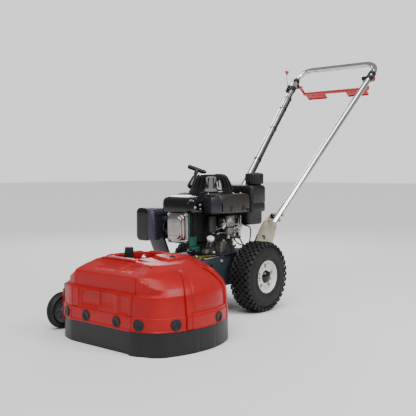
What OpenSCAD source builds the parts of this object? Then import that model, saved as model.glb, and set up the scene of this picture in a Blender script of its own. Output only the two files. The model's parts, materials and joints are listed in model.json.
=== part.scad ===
// Walk-behind petrol weed brush: two pneumatic rear wheels, a box chassis with a
// vertical-shaft engine, a belt-driven brush head under a moulded hood, and a loop handlebar.
// Machine axes while modelling: X to the operator's left, -Y forward, Z up, ground at Z = 0,
// rear axle above Y = 0. Every sub-part is then moved by `origin_shift`.

/* [Rear wheels] */
// Outer diameter of the rear tyres
tyre_od = 280; // [250:1:330]
// Width of the rear tyres
tyre_w = 94; // [80:1:110]
// Distance from the centre plane to the middle of each rear wheel
half_track = 160; // [150:1:200]
// Diameter of the rim flange
rim_d = 128; // [110:1:140]
// Diameter of the rear axle
axle_d = 20; // [16:1:25]

/* [Chassis] */
// Half width of the chassis box
chassis_hw = 90; // [80:1:95]
// Height of the chassis top above the ground
chassis_top = 225; // [210:1:260]
// Height of the chassis side plates
chassis_h = 115; // [90:1:130]
// Sheet thickness of the chassis
sheet = 4; // [3:0.5:6]
// Distance of the chassis front plate ahead of the rear axle
chassis_front = 265; // [250:1:280]
// Distance of the chassis rear edge behind the rear axle
chassis_rear = 140; // [130:1:170]

/* [Brush head] */
// Sideways offset of the brush head towards the operator's left
head_x = 115; // [60:1:130]
// Distance of the brush spindle ahead of the rear axle
head_y = 545; // [520:1:600]
// Largest half width of the hood
hood_hw = 275; // [260:1:300]
// Distance from the spindle to the hood front
hood_fr = 250; // [240:1:280]
// Distance from the spindle to the hood rear
hood_re = 225; // [210:1:235]
// Height of the lower edge of the hood above the ground
hood_bottom = 72; // [60:1:80]
// Height of the hood crown above the ground
hood_top = 266; // [260:1:285]
// Wall thickness of the moulded hood
hood_wall = 3.5; // [3:0.5:5]
// Thickness of the rubber skirt
skirt_t = 5; // [4:0.5:8]
// Outer radius of the wire brush
brush_r = 205; // [170:1:208]
// Diameter of the brush spindle
spindle_d = 25; // [20:1:30]

/* [Belt drive] */
// Radius of the small pulley on the engine shaft
drive_r = 36; // [30:1:42]
// Radius of the large pulley on the brush spindle
driven_r = 72; // [60:1:76]
// Height of the belt's middle plane
belt_z = 188; // [184:1:192]
// Width of the belt
belt_w = 13; // [10:1:16]
// Thickness of the belt
belt_t = 8; // [6:1:10]

/* [Support wheel] */
// Diameter of the small support wheel
sw_d = 130; // [110:1:150]
// Width of the small support wheel
sw_w = 38; // [30:1:44]

/* [Engine] */
// Distance of the crankshaft ahead of the rear axle
crank_y = 105; // [95:1:115]
// Radius of the engine's mounting flange
flange_r = 100; // [90:1:104]
// Half width of the cylinder fins
fin_hw = 52; // [46:1:58]
// Distance from the crankshaft to the rocker cover face
rocker_reach = 225; // [215:1:235]
// Diameter of the fuel cap
fuel_cap_d = 76; // [60:1:84]

/* [Handlebar] */
// Diameter of the handlebar tube
tube_d = 28; // [25:1:32]
// Wall thickness of the handlebar tube
tube_wall = 2; // [1.5:0.5:3]
// Half distance between the tubes at their lower ends
grip_lo_hw = 127; // [126:1:135]
// Half distance between the tubes at the top bar
grip_hi_hw = 225; // [180:1:260]
// Slope of the handlebar above the horizontal, in degrees
slope = 44.6; // [40:0.1:50]
// Length of the handlebar loop along its slope
loop_len = 1066; // [900:1:1150]
// Bend radius at the corners of the handlebar
bend_r = 66; // [50:1:90]
// Thickness of the handle plates
plate_t = 5; // [4:0.5:8]

/* [Fits] */
// Radial clearance of shafts that turn in bores
run_fit = 0.05; // [0.02:0.01:0.1]
// Gap between neighbouring covers
seam = 1.2; // [0.6:0.1:2]

/* [Hidden] */
$fn = 48;

axle_z = tyre_od / 2;
hx = head_x;
hy = -head_y;
cy = -crank_y;
plate_z = chassis_top + 6;
boom_top = chassis_top - sheet;
boom_h = 61;
boom_bot = boom_top - boom_h;
pan_t = 4;
pan_z = boom_bot - pan_t;
handle_x = chassis_hw + 8;
tube_r = tube_d / 2;

// Handle pivot and its angle slot, in machine Y and Z
pivot_y = 70;
pivot_z = chassis_top - 22;
slot_r = 92;
slot_a = 57;
slot_half = 13;

// Lower end of the handle loop and the line that it follows
loop_y = 150;
loop_z = 342;
taper = atan((grip_hi_hw - grip_lo_hw) / loop_len);

// The packed frame's origin is the middle of the whole machine's footprint
reach_right = grip_hi_hw + tube_r + 11;
reach_left = hx + hood_hw + 1;
reach_back = loop_y + loop_len * cos(slope) + tube_r;
reach_front = head_y + hood_fr + 3.5;
origin_shift = [(reach_right - reach_left) / 2, (reach_front - reach_back) / 2, 0];

red = "#c8201c";
steel_blue = "#39424c";
black = "#17181a";
rubber = "#1d1e20";
silver = "#c9cbcc";
cream = "#e4e2d8";
zinc = "#b9b598";

module place() { translate(origin_shift) children(); }

// A bar or tube along +X from x0 to x1
module rod_x(r, x0, x1) { translate([x0, 0, 0]) rotate([0, 90, 0]) cylinder(r = r, h = x1 - x0); }

// A hexagon bolt head or nut, standing on z = 0
module hex(af, h) { cylinder(r = af / sqrt(3), h = h, $fn = 6); }

// A box with its vertical edges rounded, from one corner to the other
module rbox(lo, hi, r) {
  d = hi - lo;
  translate(lo) union() {
    translate([r, 0, 0]) cube([d[0] - 2 * r, d[1], d[2]]);
    translate([0, r, 0]) cube([d[0], d[1] - 2 * r, d[2]]);
    for (x = [r, d[0] - r], y = [r, d[1] - r]) translate([x, y, 0]) cylinder(r = r, h = d[2]);
  }
}

// ---------- points of a round tube swept along a route ----------
function unit(v) = v / norm(v);
function tangent(p, i) = unit(p[min(i + 1, len(p) - 1)] - p[max(i - 1, 0)]);
function side(t) = unit(abs(t[2]) > 0.95 ? cross(t, [0, 1, 0]) : cross(t, [0, 0, 1]));
function ring(p, i, r, n) = let (t = tangent(p, i), u = side(t), v = cross(t, u))
  [for (k = [0:n - 1]) p[i] + r * (cos(360 * k / n) * u + sin(360 * k / n) * v)];
module sweep(p, r, n = 8) {
  m = len(p);
  points = [for (i = [0:m - 1]) each ring(p, i, r, n)];
  walls = [for (i = [0:m - 2], k = [0:n - 1])
    [i * n + k, (i + 1) * n + k, (i + 1) * n + (k + 1) % n, i * n + (k + 1) % n]];
  polyhedron(points = points, convexity = 6,
    faces = concat([[for (k = [0:n - 1]) k]], walls, [[for (k = [n - 1:-1:0]) (m - 1) * n + k]]));
}
// Round numbers joined by a smooth curve: Catmull-Rom, `n` steps for each stretch
function spline_at(a, b, c, d, t) = 0.5 * (2 * b + (c - a) * t + (2 * a - 5 * b + 4 * c - d) * t * t
  + (3 * b - a - 3 * c + d) * t * t * t);
function spline(p, n) = let (m = len(p) - 1)
  [for (i = [0:m - 1], k = [0:n - 1])
    spline_at(p[max(i - 1, 0)], p[i], p[i + 1], p[min(i + 2, m)], k / n), p[m]];

// ================= chassis =================
chassis_bot = chassis_top - chassis_h;
module chassis_side(s) {
  // a side plate with a raised ear that carries the handle pivot and its clamp bolt
  translate([s > 0 ? chassis_hw - sheet : -chassis_hw, 0, 0]) rotate([90, 0, 90]) linear_extrude(sheet)
    polygon([[-chassis_front, chassis_bot + 30], [-chassis_front + 40, chassis_bot],
      [chassis_rear - 30, chassis_bot], [chassis_rear, chassis_bot + 30], [chassis_rear, chassis_top],
      [pivot_y + 70, chassis_top + 70], [pivot_y + 40, chassis_top + 82], [pivot_y + 14, chassis_top + 70],
      [pivot_y - 30, chassis_top], [-chassis_front, chassis_top]]);
}
module chassis_frame() {
  color(steel_blue) place() difference() {
    union() {
      chassis_side(1);
      chassis_side(-1);
      translate([-chassis_hw + sheet, -chassis_front, boom_top])
        cube([2 * (chassis_hw - sheet), chassis_front + chassis_rear, sheet]);
      translate([-chassis_hw + sheet, chassis_rear - sheet, chassis_bot + 30])
        cube([2 * (chassis_hw - sheet), sheet, chassis_h - 30 - sheet]);
      // axle bosses inside the side plates
      for (s = [0, 1]) mirror([s, 0, 0]) translate([0, 0, axle_z])
        rod_x(axle_d / 2 + 9, chassis_hw - 24, chassis_hw);
    }
    translate([0, 0, axle_z]) rod_x(axle_d / 2, -chassis_hw - 1, chassis_hw + 1);
    translate([0, cy, boom_top - 1]) cylinder(r = 34, h = sheet + 2);
    translate([0, pivot_y, pivot_z]) rod_x(pivot_r, -chassis_hw - 1, chassis_hw + 1);
    clamp_line() rod_x(clamp_r, -chassis_hw - 1, chassis_hw + 1);
    mount_bolts() translate([0, 0, boom_top - 1]) cylinder(r = 4.2, h = sheet + 2);
    boom_bolts() translate([0, 0, boom_top - 1]) cylinder(r = 4.2, h = sheet + 2);
    translate([cable_hole[0], cable_hole[1], boom_top - 1]) cylinder(r = 8, h = sheet + 2);
    belt_window();
  }
}
// The handle's pivot bolts, and the clamp bolts that ride in the handle plates' slots
pivot_r = 6;
clamp_r = 5;
module clamp_line() {
  translate([0, pivot_y + slot_r * cos(slot_a), pivot_z + slot_r * sin(slot_a)]) children();
}
// Clear space for the belt where it passes the chassis side and the boom's step
module belt_window() {
  translate([0, 0, belt_z - belt_w / 2 - 5]) linear_extrude(belt_w + 10) polygon([
    crank_pt + across * (drive_r + belt_t + 8), head_pt + across * (driven_r + belt_t + 6),
    head_pt - across * (driven_r + belt_t + 6), crank_pt - across * (drive_r + belt_t + 8)]);
}
// Four bolts hold the engine and the engine plate to the chassis
mount_pcd = 2 * flange_r - 22;
module mount_bolts() {
  for (a = [45:90:315]) translate([mount_pcd / 2 * cos(a), cy + mount_pcd / 2 * sin(a), 0]) children();
}
// Four bolts hold the boom under the front of the chassis top
module boom_bolts() {
  for (x = [-1, 1], y = [-chassis_front + 14, -chassis_front + 38])
    translate([x * (chassis_hw - 26), y, 0]) children();
}
module engine_plate() {
  color("#4a4f3a") place() difference() {
    rbox([-chassis_hw, cy - flange_r - 10, chassis_top], [chassis_hw, cy + flange_r + 12, plate_z], 8);
    translate([0, cy, chassis_top - 1]) cylinder(r = 34, h = 8);
    mount_bolts() translate([0, 0, chassis_top - 1]) cylinder(r = 4.2, h = 8);
  }
}
module rear_axle() {
  color(silver) place() translate([0, 0, axle_z]) rod_x(axle_d / 2, -half_track - 32, half_track + 32);
}

// ================= rear wheels, modelled for the +X side =================
module tyre_shape(od, w, bead_d, crown) {
  // the section is symmetric: flat tread, round shoulders, sides that run in to the bead
  r = od / 2;
  b = bead_d / 2;
  h = w / 2;
  arc = [for (a = [0:15:90]) [r - crown + crown * sin(a), h - crown + crown * cos(a)]];
  half_out = concat([[b, h - 5], [b + 6, h - 1]], arc);
  mirrored = [for (i = [len(half_out) - 1:-1:0]) [half_out[i][0], -half_out[i][1]]];
  wall = w * 0.12;
  inner = [[b, -h + 5 + wall], [b + 8, -h + 3 + wall], [r - crown, -h + wall + 4], [r - wall, -h + crown],
    [r - wall, h - crown], [r - crown, h - wall - 4], [b + 8, h - 3 - wall], [b, h - 5 - wall]];
  rotate([0, 90, 0]) rotate_extrude() polygon(concat(half_out, mirrored, inner));
}
rim_w = tyre_w - 12;
module rim_shape() {
  // barrel, flanges, dished web with five pockets, and the hub with its bearing bores
  rf = rim_d / 2;
  difference() {
    rotate([0, 90, 0]) rotate_extrude() polygon([
      [axle_d / 2 + run_fit, -30], [axle_d / 2 + 12, -30], [axle_d / 2 + 12, 10], [rf - 12, 18],
      [rf - 6, 18], [rf - 6, -rim_w / 2], [rf, -rim_w / 2], [rf, rim_w / 2],
      [rf - 6, rim_w / 2], [rf - 9, 26], [axle_d / 2 + 14, 28], [axle_d / 2 + 10, 31],
      [axle_d / 2 + run_fit, 31]]);
    for (a = [0:72:288]) rotate([a, 0, 0]) translate([22, 0, rf - 22])
      rotate([0, 90, 0]) cylinder(r = 9, h = 12);
  }
}
module cap_shape() {
  rotate([0, 90, 0]) difference() {
    rotate_extrude() polygon([[0, 31], [25, 31], [25, 36], [22.5, 41], [17, 45], [9, 47], [0, 47.5]]);
    translate([0, 0, 30]) cylinder(r = axle_d / 2 + 1.5, h = 9);
  }
}
module wheel_at(s) { place() translate([s * half_track, 0, axle_z]) mirror([s > 0 ? 0 : 1, 0, 0])
  children(); }
module tyre_left() { color(rubber) wheel_at(1) tyre_shape(tyre_od, tyre_w, rim_d, 17); }
module rim_left() { color(cream) wheel_at(1) rim_shape(); }
module hub_cap_left() { color(black) wheel_at(1) cap_shape(); }
module tyre_right() { color(rubber) wheel_at(-1) tyre_shape(tyre_od, tyre_w, rim_d, 17); }
module rim_right() { color(cream) wheel_at(-1) rim_shape(); }
module hub_cap_right() { color(black) wheel_at(-1) cap_shape(); }

// ================= brush head =================
module head_at() { place() translate([hx, hy, 0]) children(); }

// Half outline of the head, from the front middle to the rear middle, as seen from above
half_plan = [[0.56 * hood_hw, -hood_fr], [0.845 * hood_hw, -hood_fr + 31],
  [0.975 * hood_hw, -0.5 * hood_fr],
  [hood_hw, -0.17 * hood_fr], [0.97 * hood_hw, 0.14 * hood_re], [0.86 * hood_hw, 0.46 * hood_re],
  [0.64 * hood_hw, 0.76 * hood_re], [0.36 * hood_hw, hood_re]];
full_plan = concat([for (i = [len(half_plan) - 1:-1:0]) [-half_plan[i][0], half_plan[i][1]]], half_plan);
plan_n = len(full_plan);

// The outline moved inwards by d, corner by corner, along its bisectors
function edge_normal(i) = let (a = full_plan[i], b = full_plan[(i + 1) % plan_n], e = unit(b - a))
  [-e[1], e[0]];
function inset_point(i, d) = let (n1 = edge_normal((i + plan_n - 1) % plan_n), n2 = edge_normal(i))
  full_plan[i] + d * (n1 + n2) / (1 + n1 * n2);
function inset_plan(d) = [for (i = [0:plan_n - 1]) inset_point(i, d)];

// Hood profile: [inset at the front, inset at the sides, height]; front and sides differ
hood_rings = [[0, 0, hood_bottom], [0, 0, hood_bottom + 43], [4, 3, hood_bottom + 45],
  [5, 6, hood_bottom + 82], [7, 12, hood_bottom + 110], [19, 22, hood_bottom + 114],
  [22, 44, hood_top - 26], [36, 76, hood_top - 11], [64, 112, hood_top]];
front_share = [for (p = full_plan) p[1] < -0.9 * hood_fr ? 1 : p[1] < -0.8 * hood_fr ? 0.45 : 0];
module hood_solid(d) {
  m = len(hood_rings);
  points = [for (r = hood_rings, i = [0:plan_n - 1])
    let (f = front_share[i], q = inset_point(i, d + f * r[0] + (1 - f) * r[1]))
      [q[0], q[1], r[2] - (r[2] > hood_bottom + 1 ? d : 0)]];
  tops = [for (i = [0:plan_n - 1]) (m - 1) * plan_n + i];
  walls = [for (k = [0:m - 2], i = [0:plan_n - 1]) let (j = (i + 1) % plan_n)
    each [[k * plan_n + i, (k + 1) * plan_n + j, k * plan_n + j],
      [k * plan_n + i, (k + 1) * plan_n + i, (k + 1) * plan_n + j]]];
  polyhedron(points = points, convexity = 4,
    faces = concat([[for (i = [0:plan_n - 1]) i]], walls, [[for (i = [plan_n - 1:-1:0]) tops[i]]]));
}
// The open well in the crown that shows the spindle housing and the adjuster knob
well_lo = [-98, -122];
well_hi = [44, 52];
// The rear of the hood is open over the boom
boom_gap = 112;
module hood_shell() {
  difference() {
    hood_solid(0);
    translate([0, 0, -0.5]) hood_solid(hood_wall);
    translate([well_lo[0], well_lo[1], hood_top - 40])
      cube([well_hi[0] - well_lo[0], well_hi[1] - well_lo[1], 60]);
    // the boom comes in through the rear
    translate([-2.1 * boom_gap, 0.28 * hood_re, boom_bot - 6])
      cube([3.1 * boom_gap, hood_re, boom_top + 10 - boom_bot]);
    // the support wheel's lug comes out through the right flank
    translate([-hood_hw - 10, slide_y - hy - 26, lug_z - 3]) cube([80, 52, 12]);
    plug_places() rotate([90, 0, 0]) translate([0, 0, -20]) cylinder(r = plug_r, h = 40);
  }
}
// Plug centres: along the front, the corner facets and the flanks
plug_r = 16.5;
plug_z = hood_bottom + 23;
module plug_on(i, t, s) {
  a = half_plan[i];
  b = half_plan[i + 1];
  q = a + t * (b - a);
  ang = atan2(b[1] - a[1], b[0] - a[0]);
  translate([s * q[0], q[1], plug_z]) rotate([0, 0, s * ang]) children();
}
module plug_places() {
  for (x = [-67, 78]) translate([x, -hood_fr, plug_z]) children();
  for (s = [-1, 1]) {
    plug_on(0, 0.2, s) children();
    plug_on(1, 0.56, s) children();
    plug_on(3, 0.72, s) children();
  }
}
split_x = 0.56 * hood_hw - 3;
split_y = -0.62 * hood_fr;
module front_zone(g) {
  translate([-split_x + g, -hood_fr - 20, 0]) cube([2 * (split_x - g), hood_fr + 20 + split_y - g, 400]);
}

module hood_front() { color(red) head_at() intersection() { hood_shell(); front_zone(seam / 2); } }
module hood_half(s) {
  color(red) head_at() difference() {
    intersection() {
      hood_shell();
      translate([s > 0 ? seam_x + seam / 2 : seam_x - seam / 2 - 600, -400, 0]) cube([600, 800, 400]);
    }
    front_zone(-seam / 2);
  }
}
// The left and right halves meet along the crown
seam_x = 20;
module hood_left() { hood_half(1); }
module hood_right() { hood_half(-1); }
module hood_plugs() {
  color(black) head_at() plug_places() rotate([90, 0, 0]) {
    translate([0, 0, -hood_wall]) cylinder(r = plug_r, h = hood_wall);
    cylinder(r = plug_r + 1, h = 1.5);
    translate([0, 0, 1.5]) cylinder(r1 = plug_r, r2 = plug_r - 4, h = 2);
  }
}
// Rubber skirt, hung inside the hood band in two halves that meet with a step
module skirt_ring(z0, z1, d, out) {
  difference() {
    translate([0, 0, z0]) linear_extrude(z1 - z0) polygon(inset_plan(d));
    translate([0, 0, z0 - 1]) linear_extrude(z1 - z0 + 2) polygon(inset_plan(d + skirt_t));
  }
}
skirt_top = hood_bottom + 34;
skirt_in = hood_wall;
skirt_split = 136;
module skirt_side(s) {
  translate([s > 0 ? skirt_split + seam / 2 : -400, -400, -1])
    cube([s > 0 ? 400 : 400 + skirt_split - seam / 2, 800, 400]);
}
module skirt_left() {
  color(rubber) head_at() intersection() {
    union() {
      skirt_ring(hood_bottom - 1, skirt_top, skirt_in);
      skirt_ring(0, hood_bottom - 0.6, -1);
    }
    skirt_side(1);
  }
}
module skirt_right() {
  color(rubber) head_at() intersection() {
    skirt_ring(0, skirt_top, skirt_in);
    skirt_side(-1);
  }
}

// Boom: a channel that reaches from under the chassis top to the head
boom_w = driven_r + 26;
boom_plan = [[-chassis_hw + 6, -chassis_front + 50], [chassis_hw - 6, -chassis_front + 50],
  [chassis_hw - 6, -chassis_front - 4], [chassis_hw + 38, -chassis_front - 4], [hx + 66, hy + 170],
  [hx + boom_w, hy + 70], [hx + boom_w, hy - 50], [hx + boom_w - 32, hy - 92], [hx - boom_w + 32, hy - 92],
  [hx - boom_w, hy - 50], [hx - boom_w - 14, hy + 70], [-chassis_hw + 6, -chassis_front - 24]];
boom_wall = 5;
module brush_boom() {
  color(steel_blue) place() difference() {
    translate([0, 0, boom_bot]) linear_extrude(boom_h) polygon(boom_plan);
    translate([0, 0, boom_bot - 1]) linear_extrude(boom_h + 1 - boom_wall) difference() {
      polygon(boom_plan);
      for (i = [0:len(boom_plan) - 1]) if (i != 0) boom_strip(i);
    }
    translate([hx, hy, boom_top - 10]) cylinder(r = housing_r - 8, h = 20);
    boom_bolts() translate([0, 0, boom_top - 10]) cylinder(r = 4.2, h = 20);
    translate([hx + knob_x, hy + knob_y, boom_top - 10]) cylinder(r = knob_r + run_fit, h = 20);
    translate([arm_pt[0], arm_pt[1], boom_top - 10]) cylinder(r = 6 + run_fit, h = 20);
    belt_window();
    translate([-74, -chassis_front + 58, boom_top - 22]) rotate([90, 0, 0]) cylinder(r = 5, h = 14);
  }
}
// One wall of the boom, inside the edge that ends at corner i
module boom_strip(i) {
  b = boom_plan[i];
  a = boom_plan[(i + len(boom_plan) - 1) % len(boom_plan)];
  u = unit(b - a);
  n = [-u[1], u[0]];
  polygon([a - 2 * n - boom_wall * u, a + boom_wall * n - boom_wall * u, b + boom_wall * n + boom_wall * u,
    b - 2 * n + boom_wall * u]);
}
knob_x = -60;
knob_y = -65;
knob_r = 5;
housing_r = 58;
module head_plate() {
  color(steel_blue) head_at() difference() {
    translate([0, 0, pan_z]) linear_extrude(pan_t) polygon(inset_plan(hood_wall + 9));
    translate([0, 0, pan_z - 1]) cylinder(r = spindle_d / 2 + 4, h = pan_t + 2);
  }
}
// Spindle housing: a flanged cup through the boom top, with a bearing above and one below
bearing_r = spindle_d / 2 + 11;
module spindle_housing() {
  color("#1f3f8f") head_at() difference() {
    union() {
      translate([0, 0, boom_top - 8]) cylinder(r = housing_r - 8, h = 10);
      translate([0, 0, boom_top]) cylinder(r = housing_r + 8, h = 9);
      translate([0, 0, boom_top + 9]) cylinder(r1 = housing_r - 8, r2 = housing_r - 16, h = 20);
      translate([0, 0, pan_z + pan_t]) cylinder(r = bearing_r + 6, h = 14);
    }
    translate([0, 0, boom_top - 10]) cylinder(r = bearing_r, h = 26);
    translate([0, 0, boom_top + 15]) cylinder(r = spindle_d / 2 + 3, h = 6);
    translate([0, 0, pan_z + pan_t - 1]) cylinder(r = bearing_r, h = 16);
  }
}
module bearing(z, h) {
  translate([0, 0, z]) difference() {
    cylinder(r = bearing_r, h = h);
    translate([0, 0, -1]) cylinder(r = spindle_d / 2 + run_fit, h = h + 2);
  }
}
module spindle_bearings() {
  color(silver) head_at() {
    bearing(boom_top + 4, 12);
    bearing(pan_z + pan_t, 12);
  }
}
module dome_nut(r) {
  hex(2 * r, r);
  translate([0, 0, r]) cylinder(r1 = r, r2 = 0.55 * r, h = 0.8 * r);
}

module brush_spindle() {
  color(silver) head_at() {
    translate([0, 0, disc_z]) cylinder(r = spindle_d / 2, h = boom_top + 18 - disc_z);
    translate([0, 0, disc_z + disc_t]) cylinder(r = spindle_d / 2 + 14, h = 8);
    translate([0, 0, pan_z + pan_t + 13]) cylinder(r = spindle_d / 2 + 2.5, h = 3);
    translate([0, 0, disc_z - 8]) cylinder(r = spindle_d / 2 + 4, h = 8);
  }
}
module pulley(r, w, bore) {
  // a flanged pulley about z = 0 whose groove holds the belt with clearance
  difference() {
    rotate_extrude() polygon([[bore, -w / 2 - 4], [r + belt_t - 1, -w / 2 - 4],
      [r + belt_t - 1, -w / 2 - 0.8],
      [r, -w / 2 - 0.6], [r, w / 2 + 0.6], [r + belt_t - 1, w / 2 + 0.8], [r + belt_t - 1, w / 2 + 4],
        [bore, w / 2 + 4]]);
    for (a = [0:60:300]) rotate([0, 0, a]) translate([(r + bore) / 2, 0, -w])
      cylinder(r = (r - bore) / 4.4, h = 2 * w);
  }
}
module driven_pulley() {
  color("#8c9094") head_at() translate([0, 0, belt_z]) pulley(driven_r, belt_w, spindle_d / 2);
}
module drive_pulley() {
  color("#8c9094") place() translate([0, cy, belt_z]) pulley(drive_r, belt_w, shaft_r);
}
// Brush disc under the head plate, with a ring of wire bundles held in sockets
disc_z = 84;
disc_t = 8;
bundle_n = 24;
bundle_r = 9;
bundle_lean = 15;
disc_r = brush_r - 19;
module brush_disc() {
  color("#2b2d30") head_at() difference() {
    translate([0, 0, disc_z]) cylinder(r = disc_r, h = disc_t);
    translate([0, 0, disc_z - 1]) cylinder(r = spindle_d / 2, h = disc_t + 2);
    bundle_places() translate([0, 0, disc_z - 1]) cylinder(r = bundle_r, h = 14);
  }
}
module bundle_places() {
  for (i = [0:bundle_n - 1]) rotate([0, 0, i * 360 / bundle_n]) translate([disc_r - 16, 0, 0]) children();
}
module brush_wires() {
  // each bundle is clamped in its socket and flares outwards as it goes down
  color("#8f8a80") head_at() bundle_places() {
    translate([0, 0, disc_z - 1]) cylinder(r = bundle_r, h = disc_t + 2);
    translate([0, 0, disc_z + disc_t]) cylinder(r = bundle_r + 2, h = 3);
    translate([0, 0, disc_z - 3]) cylinder(r = bundle_r, h = 3);
    translate([0, 0, disc_z - 2]) rotate([0, 180 - bundle_lean, 0])
      cylinder(r1 = bundle_r - 1.5, r2 = bundle_r + 4, h = disc_z - 10);
  }
}
module adjuster_knob() {
  // tapered grip on a stem that turns in the boom
  color(black) head_at() translate([knob_x, knob_y, 0]) {
    translate([0, 0, boom_top - 13]) cylinder(r = knob_r, h = 24);
    translate([0, 0, boom_top + 1]) cylinder(r = 9, h = 12);
    difference() {
      translate([0, 0, boom_top + 13]) cylinder(r1 = 18, r2 = 13.5, h = 66);
      for (a = [0:45:315]) rotate([0, 0, a]) translate([20.5, 0, boom_top + 20]) rotate([0, -4, 0])
        cylinder(r = 4, h = 70);
    }
  }
}

// ================= support wheel on the head's right front corner =================
sw_x = -200;
sw_y = -hood_fr + hy + 97;
sw_axle_r = 6;
slide_y = sw_y + 8;
slide_x = sw_x + sw_w / 2 + 5;
lug_z = pan_z + pan_t;
module support_lug() {
  // bracket on the head plate, with the clamp stud and its hand nut on the inner side
  stud_z = 128;
  color(steel_blue) place() {
    translate([slide_x + 6.5, slide_y - 22, lug_z]) cube([70, 44, 6]);
    translate([slide_x + 6.5, slide_y - 22, 96]) cube([6, 44, lug_z - 90]);
    translate([0, slide_y, stud_z]) rod_x(5, slide_x - 3.3, slide_x + 6.5);
    translate([0, slide_y, stud_z]) rod_x(8, slide_x - 3.3, slide_x - 0.3);
    translate([0, slide_y, stud_z]) rod_x(15, slide_x + 12.5, slide_x + 23);
  }
}
module support_slide() {
  // slotted upright plate that carries the wheel's stub axle; it slides up past the stud
  color(red) place() {
    difference() {
      translate([slide_x, slide_y - 24, 38]) cube([6, 48, 108]);
      translate([slide_x - 1, slide_y - 5.5, 82]) cube([8, 11, 46]);
      for (z = [82, 128]) translate([0, slide_y, z]) rod_x(5.5, slide_x - 1, slide_x + 7);
    }
    translate([0, sw_y, sw_d / 2]) rod_x(sw_axle_r, sw_x - sw_w / 2 - 9, slide_x);
    translate([0, sw_y, sw_d / 2]) rod_x(13, sw_x + sw_w / 2 + 2, slide_x);
    translate([sw_x - sw_w / 2 - 9, sw_y, sw_d / 2]) rotate([0, 90, 0]) hex(16, 6);
  }
}
module support_tyre() {
  color(rubber) place() translate([sw_x, sw_y, sw_d / 2]) tyre_shape(sw_d, sw_w, 88, 9);
}
module support_hub() {
  color("#4b5157") place() translate([sw_x, sw_y, sw_d / 2]) rotate([0, 90, 0]) rotate_extrude()
    polygon([[sw_axle_r + run_fit, -sw_w / 2 - 1], [15, -sw_w / 2 - 1], [18, -6], [34, -6],
      [37, -sw_w / 2 + 6],
      [44, -sw_w / 2 + 6], [44, sw_w / 2 - 6], [37, sw_w / 2 - 6], [34, 6], [18, 6], [15, sw_w / 2 + 1],
      [sw_axle_r + run_fit, sw_w / 2 + 1]]);
}

// ================= belt and tensioner =================
crank_pt = [0, cy];
head_pt = [hx, hy];
span = norm(head_pt - crank_pt);
along = (head_pt - crank_pt) / span;
across = [along[1], -along[0]];
belt_gap = 0.5;
module belt_loop(extra) {
  hull() {
    translate(crank_pt) circle(r = drive_r + extra);
    translate(head_pt) circle(r = driven_r + extra);
  }
}
module drive_belt() {
  color(black) place() translate([0, 0, belt_z - belt_w / 2]) linear_extrude(belt_w) difference() {
    belt_loop(belt_gap + belt_t);
    belt_loop(belt_gap);
  }
}
// The idler stands clear of the slack side of the belt; the arm swings it in
idler_r = 16;
idler_gap = 7;
idler_share = 0.42;
idler_off = drive_r + (driven_r - drive_r) * idler_share + belt_gap + belt_t + idler_gap + idler_r;
idler_pt = crank_pt + along * span * idler_share + across * idler_off;
arm_len = 62;
arm_pt = idler_pt - along * arm_len;
module tensioner_arm() {
  // the arm hangs from a stub in the boom's top and carries the idler's pin
  arm_z = belt_z + belt_w / 2 + 5;
  color(zinc) place() {
    translate([arm_pt[0], arm_pt[1], arm_z]) rotate([0, 0, atan2(along[1], along[0])]) {
      translate([0, -9, 0]) cube([arm_len, 18, 4]);
      translate([0, 0, 0]) cylinder(r = 11, h = 4);
      translate([arm_len, 0, 0]) cylinder(r = 9, h = 4);
      translate([0, -28, 0]) rotate([0, 0, 90]) translate([0, -6, 0]) cube([28, 12, 4]);
    }
    translate([idler_pt[0], idler_pt[1], belt_z - belt_w / 2 - 3]) cylinder(r = 5, h = belt_w + 9);
    translate([arm_pt[0], arm_pt[1], arm_z]) cylinder(r = 6, h = boom_top - 0.5 - arm_z);
  }
}
module idler_pulley() {
  color(black) place() translate([idler_pt[0], idler_pt[1], belt_z]) rotate_extrude()
    polygon([[5 + run_fit, -belt_w / 2 - 1], [idler_r, -belt_w / 2 - 1], [idler_r, belt_w / 2 + 1],
      [5 + run_fit, belt_w / 2 + 1]]);
}

// ================= engine =================
shaft_r = 12.5;
pan_h = 34;
block_z = plate_z + pan_h;
rocker_y = cy - rocker_reach;
head_lo = block_z + 26;
head_hi = block_z + 138;
cowl_z = head_hi;
module oil_pan() {
  color("#3b3d40") place() difference() {
    translate([0, cy, plate_z]) union() {
      cylinder(r = flange_r, h = 10);
      translate([0, 0, 10]) cylinder(r1 = flange_r - 8, r2 = flange_r - 14, h = pan_h - 10);
    }
    translate([0, cy, plate_z - 1]) cylinder(r = shaft_r + run_fit, h = 8);
    translate([0, cy, plate_z + 6]) cylinder(r = flange_r - 24, h = pan_h);
    mount_bolts() translate([0, 0, plate_z - 1]) cylinder(r = 4.5, h = 12);
    mount_bolts() translate([0, 0, plate_z + 10]) cylinder(r = 9, h = pan_h);
  }
}
fin_n = 9;
module engine_block() {
  // crankcase and finned cylinder in one casting
  barrel_back = cy - flange_r + 30;
  barrel_front = rocker_y + 30;
  color("#9a9c9d") place() difference() {
    union() {
      translate([0, cy, block_z]) cylinder(r = flange_r - 14, h = 12);
      translate([0, cy, block_z + 12]) cylinder(r = flange_r - 26, h = 112);
      translate([-fin_hw + 14, barrel_front, head_lo])
        cube([2 * fin_hw - 28, barrel_back - barrel_front + 10, head_hi - head_lo]);
      for (k = [0:fin_n - 1]) translate([-fin_hw, barrel_front + k * 11, head_lo])
        cube([2 * fin_hw, 3, head_hi - head_lo]);
    }
    translate([0, cy, block_z - 1]) cylinder(r = flange_r - 34, h = 112);
    translate([0, cy, block_z]) cylinder(r = shaft_r + run_fit, h = 140);
  }
}
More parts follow.
